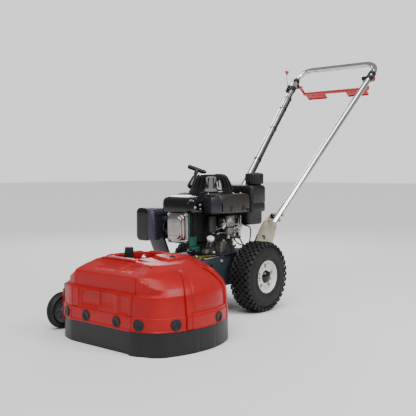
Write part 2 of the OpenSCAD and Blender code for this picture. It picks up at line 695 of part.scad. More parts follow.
module rocker_cover() {
  color(silver) place() {
    translate([0, rocker_y + 27, 0]) rotate([90, 0, 0])
      rbox([-50, head_lo - 2, 0], [50, head_hi - 1, 4], 10);
    translate([0, rocker_y + 23, 0]) rotate([90, 0, 0])
      rbox([-43, head_lo + 5, 0], [43, head_hi - 8, 23], 12);
    for (x = [-44, 44], z = [head_lo + 4, head_hi - 7]) translate([x, rocker_y + 23, z])
      rotate([90, 0, 0]) hex(8, 5);
  }
}
module cylinder_baffle() {
  color("#0e6b55") place() {
    translate([0, rocker_y + 30, 0]) rotate([90, 0, 0]) linear_extrude(3)
      polygon([[-fin_hw - 4, head_lo - 6], [fin_hw + 5, head_lo - 6], [fin_hw + 5, head_hi],
        [-fin_hw - 4, head_hi]]);
    translate([fin_hw + 1, rocker_y + 30, head_lo - 20]) cube([2, 62, 62]);
  }
}
// Blower cowl: round over the flywheel, with a square nose over the cylinder
cowl_r = 118;
cowl_h = 58;
nose_hw = 88;
nose_y = rocker_y + 18;
module cowl_plan(d) {
  translate([0, cy]) circle(r = cowl_r - d);
  translate([-nose_hw + d, nose_y + d]) square([2 * (nose_hw - d) - 14, cy - nose_y - d]);
}
module blower_cowl() {
  color(black) place() difference() {
    union() {
      translate([0, 0, cowl_z]) linear_extrude(cowl_h) cowl_plan(0);
      translate([0, 0, cowl_z + cowl_h]) linear_extrude(10) cowl_plan(9);
    }
    translate([0, 0, cowl_z - 1]) linear_extrude(cowl_h - 3) cowl_plan(3.5);
    translate([0, 0, cowl_z + cowl_h - 6]) linear_extrude(12) cowl_plan(14);
    translate([0, cy, cowl_z + cowl_h]) cylinder(r = 84, h = 20);
  }
}
cover_z = cowl_z + cowl_h + 10;
cover_h = 76;
rope_dir = unit([-0.12, 0.57, 0.81]);
rope_foot = [-70, cy - 39, cover_z + 38];
module starter_cover() {
  // dome with a ring of air slots; the block on its right shoulder guides the rope
  color(black) place() difference() {
    union() {
      translate([0, cy, cover_z]) rotate_extrude() polygon([[0, cover_h], [46, cover_h], [58, cover_h - 8],
        [84, 22], [92, 6], [92, 0], [88, 0], [88, 5], [80, 21], [55, cover_h - 11], [44, cover_h - 4],
          [0, cover_h - 4]]);
      translate(rope_foot) orient(rope_dir) translate([-11, -11, -20]) cube([22, 22, 56]);
    }
    for (a = [-50:20:150]) translate([0, cy, 0]) rotate([0, 0, a])
      translate([50, -2.5, cover_z + 26]) cube([50, 5, 34]);
    translate(rope_foot) orient(rope_dir) translate([0, 0, -12]) cylinder(r = 3.2, h = 100);
  }
}
// Turns +Z to the direction d
module orient(d) { rotate([0, acos(d[2]), atan2(d[1], d[0])]) children(); }
module starter_grip() {
  color(black) place() translate(rope_foot) orient(rope_dir) {
    translate([0, 0, -10]) cylinder(r = 2.2, h = 76);
    translate([0, 0, 44]) cylinder(r1 = 7, r2 = 9.3, h = 20);
    translate([0, 0, 70]) rotate([90, 0, 36.5]) translate([0, 0, -31]) cylinder(r = 9.5, h = 62);
    for (e = [-1, 1]) translate([0, 0, 70]) rotate([90, 0, 36.5]) translate([0, 0, e * 31]) sphere(r = 9.5);
  }
}
module crankshaft() {
  color(silver) place() translate([0, cy, 0]) {
    translate([0, 0, belt_z - belt_w / 2 - 8])
      cylinder(r = shaft_r, h = cowl_z + 24 - belt_z + belt_w / 2 + 8);
    translate([0, 0, plate_z + 12]) cylinder(r = 30, h = 14);
  }
}
module flywheel_fan() {
  color("#6f7377") place() translate([0, cy, cowl_z + 2]) difference() {
    union() {
      cylinder(r = 90, h = 12);
      for (a = [0:30:330]) rotate([0, 0, a]) translate([50, -1.5, 6]) cube([36, 3, 28]);
      translate([0, 0, 6]) cylinder(r = 60, h = 12);
    }
    translate([0, 0, -1]) cylinder(r = shaft_r, h = 30);
  }
}
muff_x = -154;
muff_y = cy - 170;
module muffler() {
  // thin-walled box, with its pipe to the cylinder
  color("#6a6a78") place() {
    difference() {
      translate([0, muff_y + 46, 0]) rotate([90, 0, 0])
        rbox([muff_x - 36, block_z + 24, 0], [muff_x + 40, block_z + 144, 92], 16);
      translate([0, muff_y + 47, 0]) rotate([90, 0, 0])
        rbox([muff_x - 33, block_z + 27, 0], [muff_x + 37, block_z + 141, 90], 13);
    }
    translate([0, muff_y + 10, head_hi - 34]) rod_x(14, muff_x + 40, -fin_hw);
  }
}
module muffler_guard() {
  color(black) place() difference() {
    translate([0, muff_y + 52, 0]) rotate([90, 0, 0])
      rbox([muff_x - 52, block_z + 20, 0], [muff_x + 12, block_z + 150, 104], 12);
    translate([0, muff_y + 48, 0]) rotate([90, 0, 0])
      rbox([muff_x - 46, block_z + 24, -6], [muff_x + 45, block_z + 146, 96], 12);
    for (k = [0:5]) translate([muff_x - 60, muff_y - 40 + k * 14, block_z + 50]) cube([20, 6, 70]);
  }
}
ac_lo = [66, cy - 142, head_hi - 4];
ac_hi = [134, cy + 78, head_hi + 68];
module air_cleaner() {
  color("#26211c") place() difference() {
    union() {
      rbox(ac_lo, ac_hi, 8);
      rbox([ac_lo[0] + 6, ac_lo[1] + 70, ac_lo[2] - 10], [ac_hi[0] - 3, ac_hi[1] - 30, ac_lo[2]], 6);
    }
    translate([0, cy, cowl_z - 20]) cylinder(r = cowl_r + 1, h = 120);
    translate([ac_lo[0] - 1, cy - 150, cowl_z - 20]) cube([nose_hw - ac_lo[0] - 11, 90, 120]);
  }
}
module carburettor() {
  cx = 92;
  color(silver) place() {
    translate([cx - 14, cy - 40, block_z + 74]) cube([36, 52, 50]);
    translate([cx + 4, cy - 14, block_z + 46]) cylinder(r = 21, h = 28);
    translate([cx + 4, cy - 14, block_z + 40]) hex(14, 6);
    translate([cx + 4, cy - 60, block_z + 98]) rotate([-90, 0, 0]) cylinder(r = 15, h = 20);
    difference() {
      translate([0, cy - 10, block_z + 96]) rod_x(14, flange_r - 32, cx - 14);
      translate([0, cy, block_z]) cylinder(r = flange_r - 25.7, h = 200);
    }
  }
}
module fuel_tank() {
  // the lower part is narrower, clear of the handle's plates
  step = block_z + 128;
  color(black) place() difference() {
    union() {
      rbox([-70, tank_y, block_z + 74], [tank_x, tank_y + 102, block_z + 238], 12);
      rbox([-70, tank_y, step], [112, tank_y + 102, block_z + 238], 12);
      translate([tank_cap[0], tank_cap[1], block_z + 238]) cylinder(r = 27, h = 16);
      // strap that rests on the crankcase
      translate([-30, cy + flange_r - 30, block_z + 84]) cube([60, tank_y + 10 - cy - flange_r + 30, 12]);
    }
    rbox([-64, tank_y + 6, block_z + 80], [tank_x - 6, tank_y + 96, block_z + 232], 8);
    rbox([-64, tank_y + 6, step + 6], [106, tank_y + 96, block_z + 232], 8);
    translate([tank_cap[0], tank_cap[1], block_z + 224]) cylinder(r = 22, h = 40);
    translate([0, cy, block_z + 80]) cylinder(r = flange_r - 26, h = 20);
  }
}
tank_y = cy + cowl_r + 2;
tank_cap = [80, tank_y + 60];
tank_x = handle_x - 2.5;
module fuel_cap() {
  color(black) place() translate([tank_cap[0], tank_cap[1], block_z + 239]) difference() {
    translate([0, 0, 3]) cylinder(r = fuel_cap_d / 2, h = 45);
    translate([0, 0, 2]) cylinder(r = 28.5, h = 14);
    for (a = [0:15:345]) rotate([0, 0, a]) translate([fuel_cap_d / 2 + 1.2, 0, 2])
      cylinder(r = 3.2, h = 40);
  }
}
module spark_plug_cap() {
  color(black) place() translate([0, rocker_y + 43, head_lo + 34]) {
    rod_x(9, -fin_hw - 36, -fin_hw - 8);
    rod_x(7, -fin_hw - 8, -fin_hw);
  }
}
module exhaust_deflector() {
  // folded plate on the front of the chassis top, under the exhaust
  f = -chassis_front;
  color(black) place() translate([-chassis_hw - 70, 0, 0]) rotate([90, 0, 90]) linear_extrude(82)
    polygon([[f, chassis_top], [f + 22, chassis_top], [f + 22, chassis_top + 3], [f + 2, chassis_top + 3],
      [f - 22, chassis_top + 56], [f - 26, chassis_top + 56]]);
}

// ================= handlebar =================
// Everything in handle_at is drawn in the loop's own plane: x across, y up the slope
module handle_at() { place() translate([0, loop_y, loop_z]) rotate([slope, 0, 0]) children(); }
side_len = (loop_len - bend_r * (1 + sin(taper))) / cos(taper);
corner = [grip_lo_hw + side_len * sin(taper), side_len * cos(taper)];
bend_c = [corner[0] - bend_r * cos(taper), corner[1] + bend_r * sin(taper)];
// The middle line of the loop, from the left lower end round to the right lower end
bend_steps = 6;
bend_pts = [for (k = [0:bend_steps]) let (a = -taper + k * (90 + taper) / bend_steps)
  [bend_c[0] + bend_r * cos(a), bend_c[1] + bend_r * sin(a), 0]];
function loop_path(e) = concat([[grip_lo_hw - e * sin(taper), -e * cos(taper), 0]], bend_pts,
  [for (k = [bend_steps:-1:0]) [-bend_pts[k][0], bend_pts[k][1], 0]],
  [[-grip_lo_hw + e * sin(taper), -e * cos(taper), 0]]);
module handlebar() {
  color(silver) handle_at() difference() {
    sweep(loop_path(0), tube_r, 16);
    sweep(loop_path(2), tube_r - tube_wall, 12);
    for (s = [-1, 1], y = tube_bolts) translate([s * (grip_lo_hw + y * tan(taper)), y, 0])
      rod_x(4, -tube_r - 8, tube_r + 8);
  }
}
tube_bolts = [16, 46];
module plate_outline() {
  polygon([[pivot_y - 28, pivot_z - 6], [pivot_y - 22, pivot_z - 24], [pivot_y, pivot_z - 32],
    [pivot_y + 24, pivot_z - 22],
    [pivot_y + 70, pivot_z + 26], [pivot_y + 112, pivot_z + 58], [pivot_y + 142, pivot_z + 132],
      [pivot_y + 148, pivot_z + 150],
    [pivot_y + 140, pivot_z + 172], [pivot_y + 116, pivot_z + 178], [pivot_y + 90, pivot_z + 172],
      [pivot_y + 50, pivot_z + 150],
    [pivot_y + 14, pivot_z + 114], [pivot_y - 14, pivot_z + 66], [pivot_y - 26, pivot_z + 30]]);
}
// A curved slot of half width w about the origin, drawn as one outline
function on_arc(r, a) = [r * cos(a), r * sin(a)];
function cap_points(c, w, a0) = [for (k = [1:5]) c + on_arc(w, a0 + 30 * k)];
module arc_slot(r, w, mid, half) {
  a = mid - half;
  b = mid + half;
  polygon(concat([for (k = [0:6]) on_arc(r + w, a + k * half / 3)], cap_points(on_arc(r, b), w, b),
    [for (k = [6:-1:0]) on_arc(r - w, a + k * half / 3)], cap_points(on_arc(r, a), w, a + 180)));
}
module handle_plate(s) {
  x0 = s > 0 ? handle_x : -handle_x - plate_t;
  difference() {
    translate([x0, 0, 0]) rotate([90, 0, 90]) linear_extrude(plate_t) difference() {
      plate_outline();
      translate([pivot_y, pivot_z]) circle(r = pivot_r + run_fit);
      translate([pivot_y, pivot_z]) arc_slot(slot_r, clamp_r + 1, slot_a, slot_half);
    }
    bolt_line() rod_x(4, -300, 300);
  }
}
module bolt_line() { translate([0, loop_y, loop_z]) rotate([slope, 0, 0]) for (y = tube_bolts)
  translate([0, y, 0]) children(); }
module handle_plates() {
  color(zinc) place() {
    handle_plate(1);
    handle_plate(-1);
  }
}
module handle_bolts() {
  // bolts that hold each tube to its plate, with spacers between
  x_out = handle_x + plate_t;
  color(silver) place() for (e = [0, 1]) mirror([e, 0, 0]) bolt_line() {
    rod_x(4, handle_x - 2, grip_lo_hw + tube_r + 12);
    rod_x(7, x_out, x_out + 8);
    translate([handle_x - 6, 0, 0]) rotate([0, 90, 0]) hex(12, 6);
    translate([grip_lo_hw + tube_r + 5, 0, 0]) rotate([0, 90, 0]) hex(12, 6);
  }
}
// A place on the left tube: Z runs up the tube, -X points to the machine's middle
module tube_at(y) { translate([grip_lo_hw + y * tan(taper), y, 0]) rotate([-90, 0, -taper]) children(); }
module tube_clamp(h) {
  difference() {
    cylinder(r = tube_r + 4, h = h);
    translate([0, 0, -1]) cylinder(r = tube_r, h = h + 2);
  }
}
throttle_at = 905;
stop_at = 974;
bail_at_y = 972;
module control_bracket() {
  // throttle housing on the right tube, stop-button housing on the left one, bail pivots on both
  color("#3a3c3f") handle_at() {
    mirror([1, 0, 0]) tube_at(throttle_at) {
      tube_clamp(24);
      translate([tube_r + 2, -16, -12]) cube([9, 32, 48]);
      translate([tube_r + 8, 0, 12]) rotate([0, 90, 0]) cylinder(r = 3, h = 9);
    }
    tube_at(stop_at - 34) {
      tube_clamp(18);
      translate([-tube_r - 2, 0, 9]) rotate([0, -90, 0]) difference() {
        cylinder(r = 11, h = 12);
        translate([0, 0, 3]) cylinder(r = 7 + run_fit, h = 12);
      }
    }
    for (e = [0, 1]) mirror([e, 0, 0]) tube_at(bail_at_y) {
      tube_clamp(16);
      translate([-4, tube_r + 1, 0]) cube([6, 20, 16]);
    }
  }
  color("#3a3c3f") bail_at() for (e = [0, 1]) mirror([e, 0, 0]) rod_x(bail_pin, bail_hw - 3, bail_hw + 30);
}
bail_pin = 4;
cable_r = 2.75;
module handle_cables() {
  color(black) handle_at() mirror([1, 0, 0]) for (a = [180, 153]) tube_at(112)
    translate((tube_r + cable_r + 0.4) * [cos(a), sin(a), 0])
      cylinder(r = cable_r, h = a == 180 ? 780 : 740);
}
// Cables below the handlebar: one to the carburettor, one through the chassis to the tensioner
cable_hole = [-66, 96];
cable_a = [[-72, 128, plate_z + 41], [-50, 128, plate_z + 18], [0, 112, plate_z + 9], [56, 72, plate_z + 8],
  [84, 26, plate_z + 12], [98, -20, plate_z + 30], [101, -60, plate_z + 70], [98, cy + 13, plate_z + 116]];
cable_b = [[-78, 122, plate_z + 36], [-74, 108, plate_z + 12], [-66, 96, chassis_top - 8],
  [-62, 70, boom_top - 22], [-64, 0, boom_top - 26], [-72, -120, boom_top - 26],
    [-74, -222, boom_top - 22]];
module lower_cables() {
  color(black) place() {
    sweep(spline(cable_a, 4), cable_r);
    sweep(spline(cable_b, 4), cable_r);
  }
}

// Bail: a pressed strip with two paddles on short arms
bail_y = 842;
bail_z = 996;
bail_hw = grip_hi_hw - 42;
module bail_at() { place() translate([0, bail_y, bail_z]) children(); }
module bail_lever() {
  color(red) bail_at() {
    difference() {
      union() {
        for (e = [0, 1]) mirror([e, 0, 0]) {
          rod_x(10, bail_hw, bail_hw + 3);
          rotate([-37, 0, 0]) translate([bail_hw, 0, -9]) cube([3, 52, 18]);
        }
        rotate([-37, 0, 0]) {
          translate([-bail_hw, 38, -9]) cube([2 * bail_hw, 14, 3]);
          translate([-bail_hw, 49, -9]) cube([2 * bail_hw, 3, 18]);
          for (x = [-bail_hw + 8, bail_hw - 124]) translate([x, 52, -9]) cube([116, 32, 3]);
        }
      }
      rod_x(bail_pin + run_fit, -bail_hw - 10, bail_hw + 10);
    }
  }
}
// Throttle lever beside its housing on the right tube, turning about the housing's pin
module throttle_at_pin() {
  handle_at() mirror([1, 0, 0]) tube_at(throttle_at) translate([tube_r + 11.4, 0, 12]) children();
}
module throttle_lever() {
  color(silver) throttle_at_pin() difference() {
    union() {
      rotate([0, 90, 0]) cylinder(r = 9, h = 4);
      translate([2, 0, 0]) rotate([lever_tilt, 0, 0]) cylinder(r = 2, h = 84);
    }
    translate([-1, 0, 0]) rotate([0, 90, 0]) cylinder(r = 3 + run_fit, h = 6);
  }
}
lever_tilt = 45;
module throttle_knob() {
  color(red) throttle_at_pin() translate([2, 0, 0]) rotate([lever_tilt, 0, 0]) {
    translate([0, 0, 84]) cylinder(r1 = 4, r2 = 6, h = 8);
    translate([0, -13, 96]) rotate([-90, 0, 0]) cylinder(r = 6, h = 26);
  }
}
module stop_button() {
  color(black) handle_at() tube_at(stop_at - 34) translate([-tube_r - 2, 0, 9]) rotate([0, -90, 0]) {
    translate([0, 0, 6.5]) cylinder(r = 7, h = 9);
    translate([0, 0, 15.5]) cylinder(r = 10, h = 6);
  }
}
module frame_bolts() {
  color(silver) place() {
    mount_bolts() {
      translate([0, 0, boom_top - 10]) cylinder(r = 4.2, h = 10 + sheet + 6 + 10);
      translate([0, 0, plate_z + 10]) hex(13, 6);
      translate([0, 0, boom_top - 7]) hex(13, 7);
    }
    boom_bolts() {
      translate([0, 0, chassis_top]) hex(12, 5);
      translate([0, 0, boom_top - 10]) cylinder(r = 4.2, h = 10 + sheet);
      translate([0, 0, boom_top - boom_wall - 6]) hex(12, 6);
    }
    for (e = [0, 1]) mirror([e, 0, 0]) {
      translate([0, pivot_y, pivot_z]) shoulder_bolt(pivot_r, 10);
      clamp_line() shoulder_bolt(clamp_r, 8);
    }
    translate([hx, hy, 0]) for (a = [30:60:330]) rotate([0, 0, a]) translate([housing_r, 0, boom_top + 9]) {
      hex(11, 6);
      translate([0, 0, 6]) cylinder(r1 = 5.4, r2 = 3, h = 4);
    }
  }
}
// Bolt from inside the chassis side, through a spacer and the handle plate, to its nut
module shoulder_bolt(r, washer) {
  rod_x(r, chassis_hw - sheet - 6, handle_x + plate_t + 9);
  translate([chassis_hw - sheet - 6, 0, 0]) rotate([0, 90, 0]) hex(2.9 * r, 6);
  rod_x(r + washer - 4, chassis_hw, handle_x - 0.4);
  translate([handle_x + plate_t + 0.4, 0, 0]) rotate([0, 90, 0]) hex(2.9 * r, 7);
}

chassis_frame();
engine_plate();
rear_axle();
brush_boom();
head_plate();
hood_front();
hood_left();
hood_right();
hood_plugs();
skirt_left();
skirt_right();
spindle_housing();
spindle_bearings();
frame_bolts();
oil_pan();
engine_block();
rocker_cover();
cylinder_baffle();
blower_cowl();
starter_cover();
muffler();
muffler_guard();
air_cleaner();
carburettor();
fuel_tank();
spark_plug_cap();
exhaust_deflector();
drive_belt();
lower_cables();
tyre_left();
rim_left();
hub_cap_left();
tyre_right();
rim_right();
hub_cap_right();
support_lug();
support_slide();
support_tyre();
support_hub();
brush_spindle();
driven_pulley();
brush_disc();
brush_wires();
crankshaft();
flywheel_fan();
drive_pulley();
tensioner_arm();
idler_pulley();
handlebar();
handle_plates();
handle_bolts();
control_bracket();
handle_cables();
bail_lever();
throttle_lever();
throttle_knob();
stop_button();
starter_grip();
fuel_cap();
adjuster_knob();
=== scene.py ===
import json
import math
import random

import bmesh
import bpy
from mathutils import Matrix, Vector

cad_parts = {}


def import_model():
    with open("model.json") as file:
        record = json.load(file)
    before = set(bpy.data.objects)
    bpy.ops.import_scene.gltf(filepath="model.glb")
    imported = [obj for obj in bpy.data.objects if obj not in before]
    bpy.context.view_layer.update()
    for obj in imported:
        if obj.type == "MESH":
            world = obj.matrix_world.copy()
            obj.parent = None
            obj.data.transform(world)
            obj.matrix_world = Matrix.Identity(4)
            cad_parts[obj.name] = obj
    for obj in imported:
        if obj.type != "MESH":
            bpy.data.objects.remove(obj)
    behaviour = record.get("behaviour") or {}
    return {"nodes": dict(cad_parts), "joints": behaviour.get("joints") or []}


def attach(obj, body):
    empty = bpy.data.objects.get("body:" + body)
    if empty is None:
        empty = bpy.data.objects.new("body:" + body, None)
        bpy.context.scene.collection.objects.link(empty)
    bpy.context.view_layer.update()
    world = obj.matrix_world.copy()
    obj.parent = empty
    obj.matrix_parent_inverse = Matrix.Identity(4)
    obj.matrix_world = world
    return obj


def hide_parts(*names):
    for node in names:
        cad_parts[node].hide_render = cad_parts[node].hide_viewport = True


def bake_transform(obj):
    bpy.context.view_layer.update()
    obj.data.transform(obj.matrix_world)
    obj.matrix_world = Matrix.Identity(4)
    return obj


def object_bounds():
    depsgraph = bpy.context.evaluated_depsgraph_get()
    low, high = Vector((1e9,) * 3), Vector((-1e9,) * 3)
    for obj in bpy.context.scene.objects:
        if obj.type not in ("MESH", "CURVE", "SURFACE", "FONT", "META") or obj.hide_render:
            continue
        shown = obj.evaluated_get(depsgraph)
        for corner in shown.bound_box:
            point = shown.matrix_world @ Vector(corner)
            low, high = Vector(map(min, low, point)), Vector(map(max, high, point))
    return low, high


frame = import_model()
cad_lo, cad_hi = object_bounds()
cad_lo, cad_hi = list(cad_lo), list(cad_hi)

# Machine axes in mm: X to the operator's left, -Y forward, rear axle above Y = 0, ground Z = 0.
AXLE = next(j for j in frame["joints"] if j["name"] == "wheel_left_spin")["pos_m"]
OX, OY = AXLE[0] - 0.160, AXLE[1]
PLACE = Matrix.Translation((OX, OY, 0)) @ Matrix.Scale(0.001, 4)
HX, HY = 115.0, -545.0
CRANK_Y = -105.0
ROOT = "machine"
RNG = random.Random(7)


def shift(x, y, z):
    return Matrix.Translation((x, y, z))


def spin(degrees, axis="Z"):
    return Matrix.Rotation(math.radians(degrees), 4, axis)


def world(x, y, z):
    return Vector((x / 1000 + OX, y / 1000 + OY, z / 1000))


# ---------------------------------------------------------------- materials
def material(name, color, rough=0.5, metal=0.0, vary=0.12, scale=30.0, rough_var=0.1,
             bump=0.15, bump_scale=900.0, stretch=(1, 1, 1), coat=0.0, wear=None, wear_amount=0.0,
             detail=4.0, specular=0.5):
    m = bpy.data.materials.new(name)
    m.use_nodes = True
    nt = m.node_tree
    bsdf = nt.nodes["Principled BSDF"]
    coord = nt.nodes.new("ShaderNodeTexCoord")
    mapping = nt.nodes.new("ShaderNodeMapping")
    mapping.inputs["Scale"].default_value = stretch
    nt.links.new(coord.outputs["Object"], mapping.inputs["Vector"])

    def noise(s, d, rough_n=0.55):
        n = nt.nodes.new("ShaderNodeTexNoise")
        n.inputs["Scale"].default_value = s
        n.inputs["Detail"].default_value = d
        n.inputs["Roughness"].default_value = rough_n
        nt.links.new(mapping.outputs["Vector"], n.inputs["Vector"])
        return n.outputs["Fac"]

    def ramp(fac, stops):
        r = nt.nodes.new("ShaderNodeValToRGB")
        r.color_ramp.elements[0].position = stops[0][0]
        r.color_ramp.elements[0].color = (*stops[0][1], 1)
        r.color_ramp.elements[1].position = stops[-1][0]
        r.color_ramp.elements[1].color = (*stops[-1][1], 1)
        for pos, col in stops[1:-1]:
            e = r.color_ramp.elements.new(pos)
            e.color = (*col, 1)
        nt.links.new(fac, r.inputs["Fac"])
        return r.outputs["Color"]

    dark = tuple(c * (1 - vary) for c in color)
    light = tuple(min(1, c * (1 + vary)) for c in color)
    base = ramp(noise(scale, detail), [(0.3, dark), (0.7, light)])
    if wear is not None:
        mix = nt.nodes.new("ShaderNodeMix")
        mix.data_type = "RGBA"
        spots = ramp(noise(scale * 2.3, 8, 0.7), [(0.58 - 0.2 * wear_amount, (0, 0, 0)),
                                                   (0.74, (wear_amount,) * 3)])
        nt.links.new(spots, mix.inputs["Factor"])
        nt.links.new(base, mix.inputs["A"])
        mix.inputs["B"].default_value = (*wear, 1)
        base = mix.outputs["Result"]
    nt.links.new(base, bsdf.inputs["Base Color"])
    rmap = nt.nodes.new("ShaderNodeMapRange")
    rmap.inputs["To Min"].default_value = max(0.02, rough - rough_var)
    rmap.inputs["To Max"].default_value = min(1, rough + rough_var)
    nt.links.new(noise(scale * 0.7, 5), rmap.inputs["Value"])
    nt.links.new(rmap.outputs["Result"], bsdf.inputs["Roughness"])
    b = nt.nodes.new("ShaderNodeBump")
    b.inputs["Strength"].default_value = bump
    b.inputs["Distance"].default_value = 0.0006
    nt.links.new(noise(bump_scale, 3), b.inputs["Height"])
    nt.links.new(b.outputs["Normal"], bsdf.inputs["Normal"])
    bsdf.inputs["Metallic"].default_value = metal
    bsdf.inputs["Coat Weight"].default_value = coat
    bsdf.inputs["Specular IOR Level"].default_value = specular
    return m


MAT = {
    "red": material("hood red", (0.36, 0.006, 0.007), 0.36, vary=0.12, scale=9, bump=0.12,
                    bump_scale=1400,
                    wear=(0.42, 0.016, 0.016), wear_amount=0.3, specular=0.3),
    "lever_red": material("lever red", (0.5, 0.010, 0.012), 0.3, vary=0.1, scale=40, bump=0.08, coat=0.3),
    "gloss": material("gloss black", (0.004, 0.004, 0.005), 0.12, vary=0.3, scale=14, rough_var=0.07,
                      bump=0.04, bump_scale=300),
    "black": material("matte black", (0.008, 0.008, 0.009), 0.45, vary=0.3, scale=60, bump=0.3,
                      specular=0.4),
    "skirt": material("skirt rubber", (0.006, 0.006, 0.007), 0.4, vary=0.35, scale=8, rough_var=0.12,
                      bump=0.25, bump_scale=500, wear=(0.018, 0.018, 0.017), wear_amount=0.4,
                      specular=0.4),
    "tyre": material("tyre rubber", (0.011, 0.011, 0.012), 0.6, vary=0.3, scale=40, bump=0.4,
                     bump_scale=1200, wear=(0.035, 0.033, 0.03), wear_amount=0.35, specular=0.35),
    "cream": material("rim cream", (0.74, 0.73, 0.68), 0.35, vary=0.06, scale=30, bump=0.1,
                      wear=(0.5, 0.47, 0.4), wear_amount=0.3),
    "chrome": material("chrome", (0.72, 0.72, 0.71), 0.1, 1.0, vary=0.05, scale=20, rough_var=0.05,
                       bump=0.03, bump_scale=500),
    "steel": material("bright steel", (0.56, 0.56, 0.55), 0.28, 1.0, vary=0.15, scale=90, bump=0.15),
    "cover": material("rocker cover", (0.40, 0.37, 0.35), 0.2, 1.0, vary=0.12, scale=25, rough_var=0.08,
                      bump=0.1, bump_scale=500),
    "zinc": material("zinc plate", (0.50, 0.46, 0.34), 0.36, 0.8, vary=0.14, scale=22, rough_var=0.12,
                     bump=0.15, wear=(0.42, 0.38, 0.26), wear_amount=0.5),
    "alloy": material("die-cast alloy", (0.20, 0.195, 0.19), 0.42, 0.9, vary=0.2, scale=50, bump=0.5,
                      bump_scale=700, wear=(0.05, 0.045, 0.04), wear_amount=0.6),
    "cast": material("grey casting", (0.030, 0.030, 0.032), 0.5, 0.3, vary=0.25, scale=40, bump=0.6,
                     bump_scale=600),
    "chassis": material("chassis paint", (0.030, 0.042, 0.055), 0.33, 0.15, vary=0.2, scale=14, bump=0.12,
                        bump_scale=500, wear=(0.075, 0.085, 0.095), wear_amount=0.4),
    "yellow": material("yellow strip", (0.60, 0.50, 0.02), 0.4, vary=0.2, scale=40,
                       wear=(0.12, 0.10, 0.03), wear_amount=0.9),
    "blue": material("blue enamel", (0.012, 0.03, 0.20), 0.3, vary=0.2, scale=30, bump=0.2),
    "teal": material("teal shield", (0.0, 0.06, 0.045), 0.4, vary=0.2, scale=40, bump=0.3),
    "heat": material("heat shield", (0.055, 0.052, 0.085), 0.42, 0.5, vary=0.2, scale=20, bump=0.3,
                     wear=(0.09, 0.085, 0.11), wear_amount=0.4),
    "brown": material("filter case", (0.017, 0.012, 0.009), 0.42, vary=0.2, scale=30, bump=0.5,
                      bump_scale=1500),
    "navy": material("filter front", (0.006, 0.008, 0.014), 0.35, vary=0.2, scale=30, bump=0.4),
    "grey": material("grey paint", (0.12, 0.13, 0.145), 0.45, vary=0.15, scale=40, bump=0.2),
    "wire": material("brush wire", (0.30, 0.28, 0.25), 0.4, 0.9, vary=0.4, scale=200, bump=0.8,
                     stretch=(1, 1, 0.08)),
    "brass": material("brass", (0.6, 0.42, 0.16), 0.3, 1.0, vary=0.15, scale=60),
    "belt": material("belt rubber", (0.02, 0.02, 0.02), 0.7, vary=0.3, scale=60, bump=0.4),
}


# ---------------------------------------------------------------- mesh tools
def lathe(profile, seg=48):
    """Profile of (radius, height) turned about Z; radius 0 closes at the axis."""
    bm = bmesh.new()
    rings = []
    for r, h in profile:
        if r < 1e-6:
            rings.append([bm.verts.new((0, 0, h))])
        else:
            rings.append([bm.verts.new((r * math.cos(2 * math.pi * k / seg),
                                        r * math.sin(2 * math.pi * k / seg), h)) for k in range(seg)])
    for a, b in zip(rings, rings[1:]):
        for k in range(seg):
            n = (k + 1) % seg
            if len(a) == 1 and len(b) == 1:
                continue
            if len(a) == 1:
                bm.faces.new((a[0], b[n], b[k]))
            elif len(b) == 1:
                bm.faces.new((a[k], a[n], b[0]))
            else:
                bm.faces.new((a[k], a[n], b[n], b[k]))
    bmesh.ops.recalc_face_normals(bm, faces=bm.faces)
    return bm


def box(x0, x1, y0, y1, z0, z1, bevel=0.0, seg=2):
    bm = bmesh.new()
    bmesh.ops.create_cube(bm, size=1)
    for v in bm.verts:
        v.co = Vector(((x0 + x1) / 2 + v.co.x * (x1 - x0), (y0 + y1) / 2 + v.co.y * (y1 - y0),
                       (z0 + z1) / 2 + v.co.z * (z1 - z0)))
    if bevel:
        bmesh.ops.bevel(bm, geom=bm.edges[:], offset=bevel, segments=seg, affect="EDGES", profile=0.5)
    return bm


def prism(points, h0, h1, bevel=0.0):
    """Polygon in XY from z = h0 to h1."""
    bm = bmesh.new()
    low = [bm.verts.new((p[0], p[1], h0)) for p in points]
    top = [bm.verts.new((p[0], p[1], h1)) for p in points]
    bm.faces.new(low[::-1])
    bm.faces.new(top)
    for k in range(len(points)):
        n = (k + 1) % len(points)
        bm.faces.new((low[k], low[n], top[n], top[k]))
    bmesh.ops.recalc_face_normals(bm, faces=bm.faces)
    if bevel:
        bmesh.ops.bevel(bm, geom=bm.edges[:], offset=bevel, segments=2, affect="EDGES", profile=0.5)
    return bm


def stack(levels):
    """Solid through outlines of equal count: (points, z or function of the point)."""
    bm = bmesh.new()
    rows = []
    for pts, z in levels:
        rows.append([bm.verts.new((p[0], p[1], z(p) if callable(z) else z)) for p in pts])
    n = len(rows[0])
    for a, b in zip(rows, rows[1:]):
        for k in range(n):
            m = (k + 1) % n
            bm.faces.new((a[k], a[m], b[m], b[k]))
    bm.faces.new(rows[0][::-1])
    bm.faces.new(rows[-1])
    bmesh.ops.recalc_face_normals(bm, faces=bm.faces)
    return bm


def spline(points, steps=8):
    p = [Vector(q) for q in points]
    out = []
    for i in range(len(p) - 1):
        a, b, c, d = p[max(i - 1, 0)], p[i], p[i + 1], p[min(i + 2, len(p) - 1)]
        for k in range(steps):
            t = k / steps
            out.append(0.5 * (2 * b + (c - a) * t + (2 * a - 5 * b + 4 * c - d) * t * t
                              + (3 * b - a - 3 * c + d) * t ** 3))
    return out + [p[-1]]


